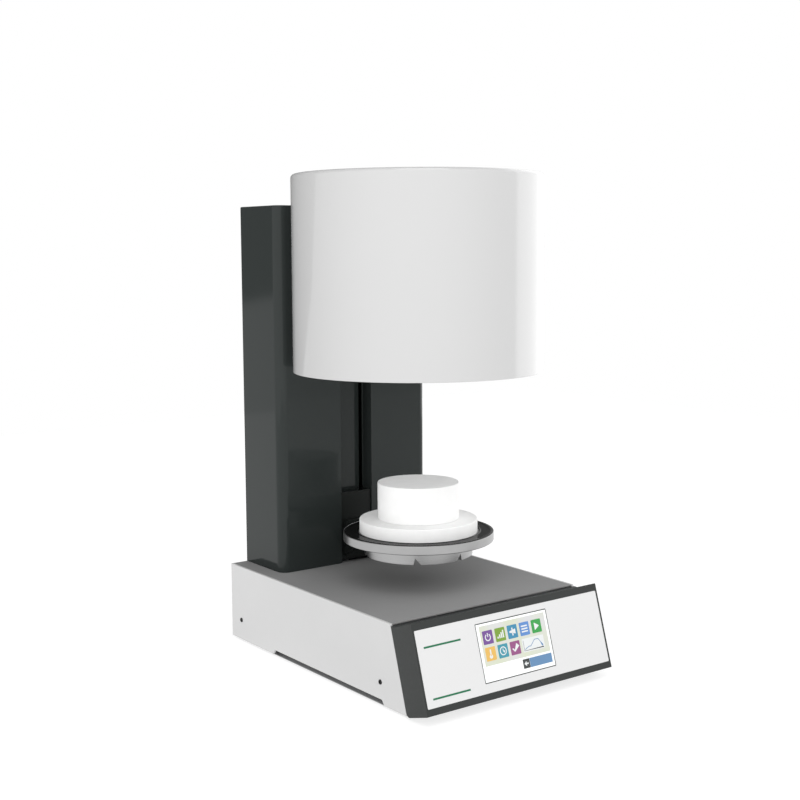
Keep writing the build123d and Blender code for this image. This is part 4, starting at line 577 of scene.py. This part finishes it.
MATERIALS = {
    "zinc_sheet": metal("zinc_sheet", (0.6, 0.61, 0.62), 0.38, (1.0, 30.0, 30.0)),
    "side_panel_paint": powder("side_panel_paint", (0.63, 0.63, 0.63), 0.42),
    "top_plate_paint": powder("top_plate_paint", (0.295, 0.295, 0.295), 0.5, 0.02),
    "black_screw": metal("black_screw", (0.03, 0.03, 0.03), 0.4),
    "foot_rubber": rubber("foot_rubber", (0.02, 0.02, 0.02), 0.75),
    "housing_plastic": moulded("housing_plastic", (0.029, 0.032, 0.031), 0.42, specular=0.3),
    "overlay_film": paint("overlay_film", (0.69, 0.69, 0.69), 0.3, peel=1800.0, depth=0.000006, spread=0.004,
                          gloss=0.04),
    "screen_glass": glowing("screen_glass", (0.84, 0.86, 0.85)),
    "display_metal": metal("display_metal", (0.5, 0.5, 0.52), 0.35),
    "circuit_board": laminate("circuit_board", (0.02, 0.14, 0.06)),
    "transformer_iron": metal("transformer_iron", (0.16, 0.16, 0.17), 0.5, (1.0, 60.0, 1.0), 0.00008),
    "valve_brass": metal("valve_brass", (0.7, 0.52, 0.25), 0.3),
    "black_plastic": moulded("black_plastic", (0.02, 0.02, 0.02), 0.38),
    "tower_paint": paint("tower_paint", (0.026, 0.031, 0.03), 0.06, depth=0.000003, specular=0.2),
    "machined_aluminium": metal("machined_aluminium", (0.72, 0.73, 0.74), 0.33, (30.0, 1.0, 30.0)),
    "bright_steel": metal("bright_steel", (0.7, 0.7, 0.71), 0.18, (1.0, 1.0, 30.0)),
    "motor_paint": paint("motor_paint", (0.03, 0.03, 0.03), 0.4),
    "arm_paint": paint("arm_paint", (0.011, 0.013, 0.012), 0.35, specular=0.15),
    "table_metal": turned_metal("table_metal", (0.42, 0.42, 0.42), 0.3),
    "seal_rubber": rubber("seal_rubber", (0.006, 0.006, 0.006), 0.2, 0.000002, 0.06),
    "white_fibre": fibre("white_fibre", (0.92, 0.92, 0.915)),
    "head_paint": paint("head_paint", (0.545, 0.545, 0.545), 0.08, coat=0.3, depth=0.000004, spread=0.012),
    "vessel_steel": metal("vessel_steel", (0.58, 0.58, 0.59), 0.3),
    "quartz_muffle": fibre("quartz_muffle", (0.8, 0.78, 0.74), 0.4),
    "coil_wire": metal("coil_wire", (0.2, 0.17, 0.15), 0.55),
    "probe_ceramic": fibre("probe_ceramic", (0.82, 0.78, 0.7), 0.6),
}


def paint_frame():
    """Every CAD node gets its slot's material."""
    for sub in frame["record"]["subparts"]:
        mesh = NODES[sub["node"]].data
        mesh.materials.clear()
        mesh.materials.append(MATERIALS[sub["material_slot"]])


paint_frame()
SLOT_OF = {sub["node"]: sub["material_slot"] for sub in frame["record"]["subparts"]}
BODY_OF = {node: body for body, nodes in frame["record"]["behaviour"]["bodies"].items() for node in nodes}


def stand_for(obj, node, bevel=0.0, **options):
    """A new piece in a node's place, on its body and with its finish."""
    slot = SLOT_OF[node]
    return dress(obj, BODY_OF[node], slot, MATERIALS[slot], (node,), bevel, **options)


# ---------------------------------------------------------------- head
def head_outline(inset, back_y):
    """Plan of the round cover with its flat back, moved in."""
    radius = HEAD_R - inset
    flat = math.asin((back_y - inset - TABLE_Y) / radius)
    start = math.pi - flat
    sweep = math.pi + 2 * flat
    return [(radius * math.cos(start + sweep * step / ROUND),
             TABLE_Y + radius * math.sin(start + sweep * step / ROUND)) for step in range(ROUND + 1)]


def head_cover():
    """Spun cover with a rolled rim, rounded top edge, slots and a window at the back."""
    low, high = mm_box("head_cover")
    rings = [(head_outline(inset, high.y), low.z + rise)
             for rise, inset in quarter(HEAD_RIM_R, HEAD_RIM_STEPS)]
    rings += [(head_outline(inset, high.y), high.z - drop) for inset, drop in quarter(HEAD_EDGE_R)]
    cover = shell_of_rings("head_cover_spun", rings)
    rings = [(head_outline(HEAD_WALL, high.y), low.z - OVER)]
    rings += [(head_outline(HEAD_WALL + inset, high.y), high.z - HEAD_WALL - drop)
              for inset, drop in quarter(HEAD_EDGE_R - HEAD_WALL)]
    combine(cover, shell_of_rings("cavity", rings))
    window = cuboid("window", (-BRACKET_W / 2, BRACKET_W / 2), (high.y - 2 * HEAD_WALL, high.y + OVER),
                    (low.z - OVER, low.z + BRACKET_H))
    combine(cover, window)
    cut = (high.z - VENT_DEPTH, high.z + 2 * OVER)
    half_l, half_w = VENT_L / 2, VENT_W / 2
    slot = rounded([(-half_l, -half_w, half_w), (half_l, -half_w, half_w),
                    (half_l, half_w, half_w), (-half_l, half_w, half_w)], SMALL_ARC_STEPS)
    middle = HEAD_R - VENT_EDGE - half_l
    cutters = []
    for index in range(VENT_COUNT):
        angle = math.radians((index + 0.5) * 360 / VENT_COUNT)
        c, s = math.cos(angle), math.sin(angle)
        x, y = middle * c, TABLE_Y + middle * s
        if y < high.y - HEAD_WALL - VENT_KEEP - half_l:
            cutters.append(prism("slot", [(x + u * c - v * s, y + u * s + v * c) for u, v in slot], *cut))
    for index in range(POST_COUNT):
        angle = math.radians((index + 0.5) * 360 / POST_COUNT)
        x, y = POST_CIRCLE_R * math.cos(angle), TABLE_Y + POST_CIRCLE_R * math.sin(angle)
        cutters.append(prism("hole", circle(x, y, POST_HOLE_R, HOLE_STEPS), *cut))
    combine(cover, joined("cutters", cutters))
    stand_for(cover, "head_cover")


# ---------------------------------------------------------------- firing table
def firing_table():
    """Pedestal, disc, flange and seal, all turned on the table's axis, and the collar."""
    low, high = mm_box("firing_pedestal")
    disc_low, disc_high = mm_box("table_disc")
    flange_low, flange_high = mm_box("table_flange")
    seal_low, seal_high = mm_box("flange_seal")
    radius = high.x
    body_z = low.z + SPIGOT_H
    pedestal = turned("pedestal_block", [
        (0, low.z, 0), (SPIGOT_R, low.z, SPIGOT_EDGE_R), (SPIGOT_R, body_z, 0),
        (radius, body_z, PEDESTAL_EDGE_R), (radius, high.z, PEDESTAL_EDGE_R), (0, high.z, 0)])
    stand_for(pedestal, "firing_pedestal")
    socket_r = SPIGOT_R + SPIGOT_GAP
    socket_z = disc_high.z - SPIGOT_H - SPIGOT_GAP
    disc = turned("insulating_disc", [
        (0, disc_low.z, 0), (DISC_R, disc_low.z, DISC_EDGE_R), (DISC_R, disc_high.z, DISC_TOP_R),
        (socket_r, disc_high.z, DISC_EDGE_R), (socket_r, socket_z, 0), (0, socket_z, 0)])
    stand_for(disc, "table_disc")
    lip = flange_high.x - SEAL_LIP
    seat_r = DISC_R + SEAT_GAP
    recess_r = DISC_R + RECESS_GAP
    flange = turned("table_flange_turned", [
        (0, flange_low.z, 0), (flange_high.x, flange_low.z, FLANGE_EDGE_R),
        (flange_high.x, flange_high.z, FLANGE_TOP_R), (lip, flange_high.z, FLANGE_LIP_R),
        (lip, seal_low.z, 0), (recess_r, seal_low.z, 0), (recess_r, flange_high.z, FLANGE_LIP_R),
        (seat_r, flange_high.z, FLANGE_LIP_R), (seat_r, disc_low.z, 0), (0, disc_low.z, 0)])
    stand_for(flange, "table_flange")
    inner, outer = DISC_R + SEAL_GAP, seal_high.x
    top = seal_high.z
    section = [(inner, seal_low.z, 0), (outer, seal_low.z, 0)]
    section += [(outer - u, top - v, r) for u, v, r in SEAL_OUTER]
    section += [(inner + u, top - v, r) for u, v, r in SEAL_INNER]
    seal = turned("flange_seal_moulded", section)
    stand_for(seal, "flange_seal")
    table_skirt()


def table_skirt():
    """Collar with a wider upper band, V notches and the gap for the arm."""
    low, high = mm_box("table_skirt")
    radius = high.x - SKIRT_STEP_OUT
    inner = radius - SKIRT_WALL
    step = high.z - SKIRT_STEP
    skirt = turned("table_skirt_turned", [
        (inner, low.z, SKIRT_EDGE_R), (radius, low.z, SKIRT_FOOT_R), (radius, step, 0.0),
        (high.x, step, SKIRT_EDGE_R), (high.x, high.z, 0), (inner, high.z, 0)])
    cutters = []
    for index in range(TAB_COUNT):
        for side in (-1, 1):
            turn = TAB_TURN + index * 360 / TAB_COUNT + side * TAB_HALF
            if abs(turn - ARM_TURN) < ARM_KEEP:
                continue
            outline = [(-side * NOTCH_SLANT, low.z - OVER), (side * NOTCH_STEEP, low.z - OVER),
                       (0, low.z + NOTCH_RISE)]
            notch = prism("notch", outline, inner - 2 * OVER, high.x + 2 * OVER, "yzx")
            notch.data.transform(Matrix.Rotation(math.radians(turn), 4, "Z"))
            notch.data.transform(Matrix.Translation((0, TABLE_Y * MM, 0)))
            cutters.append(notch)
    gap_top = mm_box("lift_arm")[1].z - ARM_STEP
    cutters.append(cuboid("gap", (-ARM_W / 2, ARM_W / 2), (TABLE_Y, TABLE_Y + high.x + 3 * OVER),
                          (low.z - 2 * OVER, gap_top)))
    for cutter in cutters:
        combine(skirt, cutter)
    stand_for(skirt, "table_skirt", bevel=0.25, segments=2)


# ---------------------------------------------------------------- side screws
def side_screws():
    """Black button heads with hexagon sockets, on the side panels' faces."""
    low, high = mm_box("side_panel_screws")
    inset = (high.z - low.z) / 2
    face = mm_box("right_side_panel")[1].x
    screws = []
    for side in (-1, 1):
        for y in (low.y + inset, high.y - inset):
            screw = turned("part", [
                (0, -SIDE_SCREW_L, 0), (SIDE_SCREW_SHANK, -SIDE_SCREW_L, SIDE_SCREW_TIP_R),
                (SIDE_SCREW_SHANK, 0, 0), (SIDE_SCREW_R, 0, 0),
                (SIDE_SCREW_R, SIDE_SCREW_H, SIDE_SCREW_EDGE_R), (0, SIDE_SCREW_H, 0)],
                0, 0, SIDE_SCREW_STEPS)
            hexagon = circle(0, 0, SIDE_SCREW_HEX_R, 6)
            combine(screw, prism("socket", hexagon, SIDE_SCREW_H - SIDE_SCREW_HEX_DEPTH, SIDE_SCREW_H + OVER))
            screw.data.transform(Matrix.Rotation(side * math.pi / 2, 4, "Y"))
            screw.data.transform(Matrix.Translation((side * face * MM, y * MM, (low.z + high.z) / 2 * MM)))
            screws.append(screw)
    stand_for(joined("side_button_screws", screws), "side_panel_screws")


# ---------------------------------------------------------------- tower
def tower_plan(inset):
    """Corners of the tower's plan, moved in."""
    low, high = mm_box("tower_shell")
    x = high.x - inset
    radius = TOWER_EDGE_R - inset
    front, back = low.y + inset, high.y - inset
    return [(-x, front, radius), (x, front, radius), (x, back, TOWER_REAR_R), (-x, back, TOWER_REAR_R)]


def tower_shell():
    """Folded shell with rounded uprights and top edges, the lift groove and its slots."""
    low, high = mm_box("tower_shell")
    rings = [(rounded(tower_plan(0)), low.z)]
    for inset, drop in quarter(TOP_EDGE_R, TOP_EDGE_STEPS):
        plan = [(x, y, max(r - inset, TOWER_LEAST_R))
                for (x, y, _), (_, _, r) in zip(tower_plan(inset), tower_plan(0))]
        rings.append((rounded(plan), high.z - drop))
    shell = shell_of_rings("tower_shell_folded", rings)
    roof = high.z - TOWER_WALL
    combine(shell, prism("inside", rounded(tower_plan(TOWER_WALL)), low.z - OVER, roof))
    lip = high.x - TOWER_WALL - REAR_LIP
    combine(shell, cuboid("back", (-lip, lip), (high.y - TOWER_WALL - OVER, high.y + OVER),
                          (low.z - OVER, roof - REAR_LIP)))
    half = GROOVE_W / 2
    back_y = low.y + GROOVE_DEPTH
    top = low.z + GROOVE_H
    lined = half + TOWER_WALL
    liner = cuboid("liner", (-lined, lined), (low.y + TOWER_WALL / 2, back_y + TOWER_WALL),
                   (low.z, top + TOWER_WALL))
    combine(shell, liner, "UNION")
    combine(shell, cuboid("groove", (-half, half), (low.y - OVER, back_y), (low.z - OVER, top)))
    for side in (-1, 1):
        x = sorted((side * (half - SLOT_EDGE), side * (half - SLOT_EDGE - SLOT_W)))
        combine(shell, cuboid("slot", x, (back_y - OVER, back_y + TOWER_WALL + OVER), (low.z - OVER, top)))
    stand_for(shell, "tower_shell", bevel=0.35, segments=2)


# ---------------------------------------------------------------- control housing
def slab_point(up, depth):
    """Point (y, z) of the leaning slab: up its face, and into it."""
    y = mm_box("control_housing")[0].y + up * math.sin(LEAN) + depth * math.cos(LEAN)
    z = FOOT_GAP + SLAB_LOW + up * math.cos(LEAN) - depth * math.sin(LEAN)
    return (y, z)


def slab_turn():
    """Transform from (right, up the face, into it) to the leaning slab's place, in metres."""
    y, z = slab_point(0, 0)
    right = Vector((1, 0, 0))
    up = Vector((0, math.sin(LEAN), math.cos(LEAN)))
    inwards = Vector((0, math.cos(LEAN), -math.sin(LEAN)))
    return Matrix.Translation((0, y * MM, z * MM)) @ Matrix((right, up, inwards)).transposed().to_4x4()


def slab_box(name, x, up, depth, radius=0.0):
    """Box in the slab's own directions, with rounded corners seen from the front."""
    outline = [(x[0], up[0], radius), (x[1], up[0], radius), (x[1], up[1], radius), (x[0], up[1], radius)]
    obj = prism(name, rounded(outline), depth[0], depth[1])
    obj.data.transform(slab_turn())
    obj.data.flip_normals()
    return obj


def control_housing():
    """Leaning moulding with its recess, window and cavity, the overlay's film and the screen's glass."""
    half = mm_box("control_housing")[1].x
    back_y, back_z = slab_point(SLAB_L, SLAB_T)
    corners = [slab_point(0, 0) + (SLAB_EDGE_R,), slab_point(SLAB_L, 0) + (SLAB_TOP_R,),
               (back_y - SLAB_LEDGE, back_z, 0.0), (back_y, back_z, SLAB_REAR_R),
               slab_point(0, SLAB_T) + (SLAB_FOOT_R,)]
    housing = prism("control_housing_moulded", rounded(corners), -half, half, "yzx")
    inner = half - SLAB_WALL
    combine(housing, slab_box("cavity", (-inner, inner), (CAVITY_BOTTOM, SLAB_L - CAVITY_TOP),
                              (SLAB_WALL + LABEL_T, SLAB_T + 4 * OVER)))
    label = half - LABEL_SIDE
    combine(housing, slab_box("recess", (-label, label), (LABEL_BOTTOM, SLAB_L - LABEL_TOP),
                              (-SLAB_CUT, LABEL_T), LABEL_R))
    screen = (-SCREEN_W / 2, SCREEN_W / 2)
    window = (SCREEN_LOW, SCREEN_HIGH)
    combine(housing, slab_box("window", screen, window, (-SLAB_CUT, SLAB_T / 2), SCREEN_R))
    stand_for(housing, "control_housing", bevel=0.7, segments=4)
    film = label - LABEL_GAP
    film_up = (LABEL_BOTTOM + LABEL_GAP, SLAB_L - LABEL_TOP - LABEL_GAP)
    overlay = slab_box("front_overlay_film", (-film, film), film_up, (0.0, LABEL_T), FILM_R)
    combine(overlay, slab_box("window", screen, window, (-SLAB_CUT, SLAB_CUT), SCREEN_R))
    stand_for(overlay, "front_overlay", bevel=0.12, segments=2)
    glass = slab_box("touch_screen_glass", (screen[0] + SCREEN_GAP, screen[1] - SCREEN_GAP),
                     (window[0] + SCREEN_GAP, window[1] - SCREEN_GAP), (GLASS_FRONT, GLASS_BACK), GLASS_R)
    stand_for(glass, "touch_screen", bevel=0.15, segments=2)


# ---------------------------------------------------------------- prints on the display and the overlay
# Numbers in the picture are millimetres on the screen, to the right and down from its upper left corner.
def block(x, y, width, height, radius=0.0):
    """Rounded rectangle on the screen, from its upper left corner."""
    return rounded([(x, y, radius), (x + width, y, radius), (x + width, y + height, radius),
                    (x, y + height, radius)], SIGN_ARC_STEPS)


def band(x, y, inner, outer, start=1.0, sweep=358.0):
    """Part of a ring, in degrees clockwise from the top."""
    angles = [math.radians(start + sweep * step / BAND_STEPS) for step in range(BAND_STEPS + 1)]
    outside = [(x + outer * math.sin(a), y - outer * math.cos(a)) for a in angles]
    return outside + [(x + inner * math.sin(a), y - inner * math.cos(a)) for a in reversed(angles)]


def stroke(points, width):
    """Line of a width along points, with mitred bends."""
    path = [Vector(point) for point in points]
    left, right = [], []
    for index, point in enumerate(path):
        ahead = (path[min(index + 1, len(path) - 1)] - point).normalized()
        behind = (point - path[max(index - 1, 0)]).normalized()
        along = (ahead + behind).normalized()
        side = Vector((-along.y, along.x)) * (width / 2 / max(along.dot(ahead or behind), 0.3))
        left.append(tuple(point + side))
        right.append(tuple(point - side))
    return left + right[::-1]


def pictograms(x, y):
    """Plain signs, one per tile, from the middles of the tiles' columns and rows."""
    return [
        [band(x[0], y[0], 2.7, 3.8, 32, 296), block(x[0] - 0.55, y[0] - 4.4, 1.1, 4.0, 0.3)],
        [block(x[1] - 6.6 + 2.4 * k, y[0] + 3.6 - 1.9 * k, 1.6, 1.9 * k, 0.2) for k in range(1, 5)],
        [stroke([(x[2] - 4, y[0]), (x[2] + 4, y[0])], 1.5), block(x[2] - 0.75, y[0] - 4, 1.5, 3.2, 0.2),
         block(x[2] - 0.75, y[0] + 0.8, 1.5, 3.2, 0.2)],
        [block(x[3] - 4.2, y[0] - 3.6 + 2.8 * k, 8.4, 1.4, 0.4) for k in range(3)],
        [rounded([(x[4] - 2.8, y[0] - 4, 0.5), (x[4] + 3.8, y[0], 0.5), (x[4] - 2.8, y[0] + 4, 0.5)],
                 SIGN_ARC_STEPS)],
        [band(x[0], y[1] + 2.6, 0.0, 2.1, 26, 308), block(x[0] - 0.9, y[1] - 4.6, 1.8, 5.4, 0.8)],
        [band(x[1], y[1], 3.4, 4.4),
         stroke([(x[1], y[1] - 2.4), (x[1], y[1]), (x[1] + 1.9, y[1] + 1.1)], 0.8)],
        [stroke([(x[2] - 3.8, y[1] + 0.2), (x[2] - 1.2, y[1] + 2.8), (x[2] + 3.8, y[1] - 3.0)], 1.4)],
    ]


def display_picture():
    """Menu of coloured tiles with plain signs, a firing curve and a button."""
    columns = [TILE_LEFT + TILE_PITCH * k for k in range(TILE_COLUMNS)]
    white = glowing("display_white", (0.62, 0.64, 0.64))
    grey = glowing("display_grey", (0.52, 0.52, 0.535), other=(0.5, 0.53, 0.4))
    dark = glowing("display_dark", (0.012, 0.018, 0.018))
    blue = glowing("display_blue", (0.08, 0.19, 0.35))
    layers = [(grey, PRINT_BACK, PANEL_FRONT, [block(4.6, 3.2, 87.9, 40.0, 0.5)])]
    signs = pictograms([x + TILE_W / 2 for x in columns], [y + TILE_H / 2 for y in TILE_ROWS])
    for index, tint in enumerate(TILE_TINTS):
        row, column = divmod(index, TILE_COLUMNS)
        tile = block(columns[column], TILE_ROWS[row], TILE_W, TILE_H, TILE_R)
        layers.append((glowing("display_tile_%d" % index, tint), PANEL_FRONT, TILE_FRONT, [tile]))
        layers.append((white, TILE_FRONT, SIGN_FRONT, signs[index]))
    x, y = columns[len(TILE_TINTS) % TILE_COLUMNS], TILE_ROWS[-1]
    curve = stroke([(x + u, y + v) for u, v in CHART_CURVE], 0.7)
    chart_axes = stroke([(x + u, y + v) for u, v in CHART_AXES], 0.35)
    arrow = [(60.2, 49.2), (60.2, 50.7), (57.6, 50.7), (57.6, 52.5), (54.4, 49.95), (57.6, 47.4),
             (57.6, 49.2)]
    layers += [
        (white, PANEL_FRONT, TILE_FRONT, [block(x, y, TILE_PITCH + TILE_W, TILE_H, TILE_R)]),
        (blue, TILE_FRONT, SIGN_FRONT, [curve]),
        (dark, TILE_FRONT, SIGN_FRONT, [chart_axes]),
        (blue, PRINT_BACK, TILE_FRONT, [block(62.2, 45.2, 30.6, 9.5, 0.4)]),
        (dark, PRINT_BACK, TILE_FRONT, [block(52.9, 45.2, 9.1, 9.5, 0.4)]),
        (white, TILE_FRONT, SIGN_FRONT, [arrow])]
    materials, parts = [], []

    def layer(outline, front, back):
        return prism("part", [(u - SCREEN_W / 2, SCREEN_HIGH - v) for u, v in outline], front, back)

    def inked(part, material):
        for face in part.data.polygons:
            face.material_index = materials.index(material)
        return part

    for material, back, front, outlines in layers:
        if material not in materials:
            materials.append(material)
        parts += [inked(layer(outline, front, back), material) for outline in outlines]
    edge, inner = SCREEN_GAP, SCREEN_GAP + BORDER_W
    screen_h = SCREEN_HIGH - SCREEN_LOW
    rim = block(edge, edge, SCREEN_W - 2 * edge, screen_h - 2 * edge, GLASS_R)
    opening = block(inner, inner, SCREEN_W - 2 * inner, screen_h - 2 * inner, BORDER_R)
    border = combine(layer(rim, TILE_FRONT, PRINT_BACK), layer(opening, 0.0, 2 * PRINT_BACK))
    picture = joined("display_picture", parts + [inked(border, dark)])
    picture.data.transform(slab_turn())
    picture.data.flip_normals()
    dress(picture, "root", "screen_glass", materials)


def label_stripes():
    """Two printed stripes at the left end of the overlay."""
    left = LABEL_SIDE - mm_box("control_housing")[1].x
    top = SLAB_L - LABEL_TOP
    green = paint("stripe_ink", (0.0033, 0.147, 0.06), 0.3, peel=1800.0, depth=0.000006, spread=0.06)
    depth = (STRIPE_FRONT, STRIPE_BACK)
    stripes = []
    for start, end, down in STRIPES:
        up = (top - down - STRIPE_H / 2, top - down + STRIPE_H / 2)
        stripes.append(slab_box("part", (left + start, left + end), up, depth, STRIPE_R))
    dress(joined("overlay_stripes", stripes), "root", "overlay_film", green)


# ---------------------------------------------------------------- all pieces
# Pieces whose own mesh from the frame gets bevelled edges of this width.
COPIES = {
    "left_side_panel": 0.5, "right_side_panel": 0.5, "base_top_plate": 0.5, "rear_panel": 0.25,
    "carriage_cover": 0.5, "lift_arm": 0.8, "tower_rear_cover": 0.2, "power_inlet": 0.4,
    "switch_frame": 0.3, "power_rocker": 0.5, "fan_frame": 0.3, "head_bracket": 0.4,
    "chamber_plate": 0.4,
}

head_cover()
firing_table()
side_screws()
tower_shell()
control_housing()
display_picture()
label_stripes()
for node, width in COPIES.items():
    stand_for(copied(node, node + "_edged"), node, bevel=width)


# ---------------------------------------------------------------- stage, light and camera
FLOOR_HALF = 2000.0          # in millimetres
FLOOR_DIFFUSE = 0.4
FLOOR_GLOW = 0.75
# Painted shadow under the base: the floor's glow fades out past the pan's edge, so the floor under the base
# is dark.
FLOOR_PAINTED_SHADOW_START = -0.0015  # in metres past the pan's edge, below zero under the pan:
FLOOR_PAINTED_SHADOW_END = -0.004     # the glow fades out from here to here

CAMERA_PLACE = (-0.8630, -1.1426, 0.4576)
CAMERA_YAW = math.radians(-36.7)
CAMERA_PITCH = math.radians(83.35)
CAMERA_ROLL = math.radians(-0.29)
CAMERA_LENS = 58.6
CAMERA_SENSOR = 36.0

SOFTBOX_PLACE = (-0.6, -1.0, 2.4)
SOFTBOX_TARGET = (0.0, 0.0, 0.2)
SOFTBOX_SIDE = 1.4
SOFTBOX_POWER = 12.0

# Zones of the world: a limit and half the width of its soft edge, in degrees of azimuth or height.
WORLD_BASE = 0.84
FRONT_GAIN = 0.74
FRONT_DIRECTION = (-0.8, -0.6, 0.0)
FRONT_EDGE = (0.4, 0.6)      # of the cosine of the angle to that direction
TOP_DROP = -0.5
TOP_EDGE = (50.0, 15.0)
RIGHT_GAIN = 1.2
RIGHT_START = (50.0, 4.0)
RIGHT_END = (118.0, 4.0)
RIGHT_TOP = (40.0, 10.0)
BEHIND_DROP = -0.6
BEHIND_FLAT = (-8.3, 0.25)   # limit of height + FLAT_SLOPE * azimuth
FLAT_SLOPE = 0.2
BEHIND_STEEP = (-20.67, 0.4)
STEEP_SLOPE = 0.584
BEHIND_END = (46.0, 4.0)
BEHIND_TOP = (50.0, 10.0)


def stage_floor():
    """Pale floor, wide enough to be mirrored in the tower's side. Its glow ends under the base, which paints
    a shadow on the floor there.
    """
    bm = bmesh.new()
    bmesh.ops.create_grid(bm, x_segments=1, y_segments=1, size=FLOOR_HALF)
    floor = mesh_object("studio_floor", bm)
    s = Shader("floor_white", (FLOOR_DIFFUSE,) * 3, 0.9)
    s.mottled(s.noise(3.0), 0.01)
    s.bsdf.inputs["Specular IOR Level"].default_value = 0.0
    s.bsdf.inputs["Emission Color"].default_value = (1.0, 1.0, 1.0, 1.0)
    low, high = mm_box("base_pan")
    away = s.add("ShaderNodeVectorMath", operation="SUBTRACT")
    away.inputs[1].default_value = ((low + high) / 2 * MM)[:]
    s.link(s.place, away.inputs[0])
    reach = s.add("ShaderNodeVectorMath", operation="ABSOLUTE")
    s.link(away.outputs["Vector"], reach.inputs[0])
    beside = s.add("ShaderNodeVectorMath", operation="SUBTRACT")
    beside.inputs[1].default_value = ((high - low) / 2 * MM)[:]
    s.link(reach.outputs["Vector"], beside.inputs[0])
    axes = s.add("ShaderNodeSeparateXYZ")
    s.link(beside.outputs["Vector"], axes.inputs["Vector"])
    outside = s.add("ShaderNodeMath", operation="MAXIMUM")
    s.link(axes.outputs["X"], outside.inputs[0])
    s.link(axes.outputs["Y"], outside.inputs[1])
    # Painted shadow: no glow under the base pan, so the floor there stays dark.
    glow_less_painted_shadow = s.ranged(outside.outputs["Value"], 0.0, FLOOR_GLOW, FLOOR_PAINTED_SHADOW_END, FLOOR_PAINTED_SHADOW_START)
    s.link(glow_less_painted_shadow, s.bsdf.inputs["Emission Strength"])
    floor.data.materials.append(s.material)


def add_camera():
    """The photograph's view."""
    data = bpy.data.cameras.new("photo_camera")
    data.lens = CAMERA_LENS
    data.sensor_width = CAMERA_SENSOR
    data.sensor_fit = "HORIZONTAL"
    camera = bpy.data.objects.new("photo_camera", data)
    bpy.context.collection.objects.link(camera)
    yaw = Matrix.Rotation(CAMERA_YAW, 4, "Z")
    pitch = Matrix.Rotation(CAMERA_PITCH, 4, "X")
    roll = Matrix.Rotation(CAMERA_ROLL, 4, "Z")
    camera.matrix_world = Matrix.Translation(CAMERA_PLACE) @ yaw @ pitch @ roll
    bpy.context.scene.camera = camera


def add_softbox():
    """One soft lamp above, before and to the left of the furnace."""
    data = bpy.data.lights.new("softbox_top", "AREA")
    data.shape = "RECTANGLE"
    data.size = data.size_y = SOFTBOX_SIDE
    data.energy = SOFTBOX_POWER
    lamp = bpy.data.objects.new("softbox_top", data)
    bpy.context.collection.objects.link(lamp)
    lamp.location = SOFTBOX_PLACE
    lamp.rotation_euler = (Vector(SOFTBOX_TARGET) - Vector(SOFTBOX_PLACE)).to_track_quat("-Z", "Y").to_euler()


def set_world():
    """Studio to be mirrored: pale, brighter in front and at the right, dimmer behind and above."""
    world = bpy.data.worlds.new("studio")
    bpy.context.scene.world = world
    world.use_nodes = True
    tree = world.node_tree
    nodes, links = tree.nodes, tree.links

    def math_node(operation, *values):
        node = nodes.new("ShaderNodeMath")
        node.operation = operation
        for socket, value in zip(node.inputs, values):
            if isinstance(value, (int, float)):
                socket.default_value = value
            else:
                links.new(value, socket)
        return node.outputs["Value"]

    def beyond(value, limit, blur):
        """0 below a limit and 1 above it, with an edge of twice the blur."""
        node = nodes.new("ShaderNodeMapRange")
        node.interpolation_type = "SMOOTHSTEP"
        node.inputs["From Min"].default_value = limit - blur
        node.inputs["From Max"].default_value = limit + blur
        links.new(value, node.inputs["Value"])
        return node.outputs["Result"]

    def short_of(value, limit, blur):
        """1 below a limit and 0 above it."""
        return math_node("SUBTRACT", 1.0, beyond(value, limit, blur))

    parts = nodes.new("ShaderNodeSeparateXYZ")
    directions = nodes.new("ShaderNodeTexCoord").outputs["Generated"]
    links.new(directions, parts.inputs["Vector"])
    bearing = math_node("ARCTAN2", parts.outputs["X"], parts.outputs["Y"])
    azimuth = math_node("MULTIPLY", bearing, 180 / math.pi)
    height = math_node("MULTIPLY", math_node("ARCSINE", parts.outputs["Z"]), 180 / math.pi)
    flat_edge = math_node("MULTIPLY_ADD", azimuth, FLAT_SLOPE, height)
    steep_edge = math_node("MULTIPLY_ADD", azimuth, STEEP_SLOPE, height)
    behind = math_node("MULTIPLY", beyond(flat_edge, *BEHIND_FLAT), beyond(steep_edge, *BEHIND_STEEP))
    behind = math_node("MULTIPLY", behind, short_of(azimuth, *BEHIND_END))
    behind = math_node("MULTIPLY", behind, short_of(height, *BEHIND_TOP))
    right = math_node("MULTIPLY", beyond(azimuth, *RIGHT_START), short_of(azimuth, *RIGHT_END))
    right = math_node("MULTIPLY", right, short_of(height, *RIGHT_TOP))
    facing = nodes.new("ShaderNodeVectorMath")
    facing.operation = "DOT_PRODUCT"
    facing.inputs[1].default_value = FRONT_DIRECTION
    links.new(directions, facing.inputs[0])
    front = beyond(facing.outputs["Value"], *FRONT_EDGE)
    top = beyond(height, *TOP_EDGE)
    strength = math_node("MULTIPLY_ADD", right, RIGHT_GAIN, WORLD_BASE)
    strength = math_node("MULTIPLY_ADD", front, FRONT_GAIN, strength)
    strength = math_node("MULTIPLY_ADD", top, TOP_DROP, strength)
    strength = math_node("MULTIPLY_ADD", behind, BEHIND_DROP, strength)
    studio = nodes["Background"]
    links.new(strength, studio.inputs["Strength"])
    backdrop = nodes.new("ShaderNodeBackground")
    for background in (studio, backdrop):
        background.inputs["Color"].default_value = (1.0, 1.0, 1.0, 1.0)
    mix = nodes.new("ShaderNodeMixShader")
    links.new(nodes.new("ShaderNodeLightPath").outputs["Is Camera Ray"], mix.inputs["Fac"])
    links.new(studio.outputs["Background"], mix.inputs[1])
    links.new(backdrop.outputs["Background"], mix.inputs[2])
    links.new(mix.outputs["Shader"], nodes["World Output"].inputs["Surface"])


stage_floor()
add_camera()
set_world()
add_softbox()
bpy.context.scene.view_settings.view_transform = "Standard"
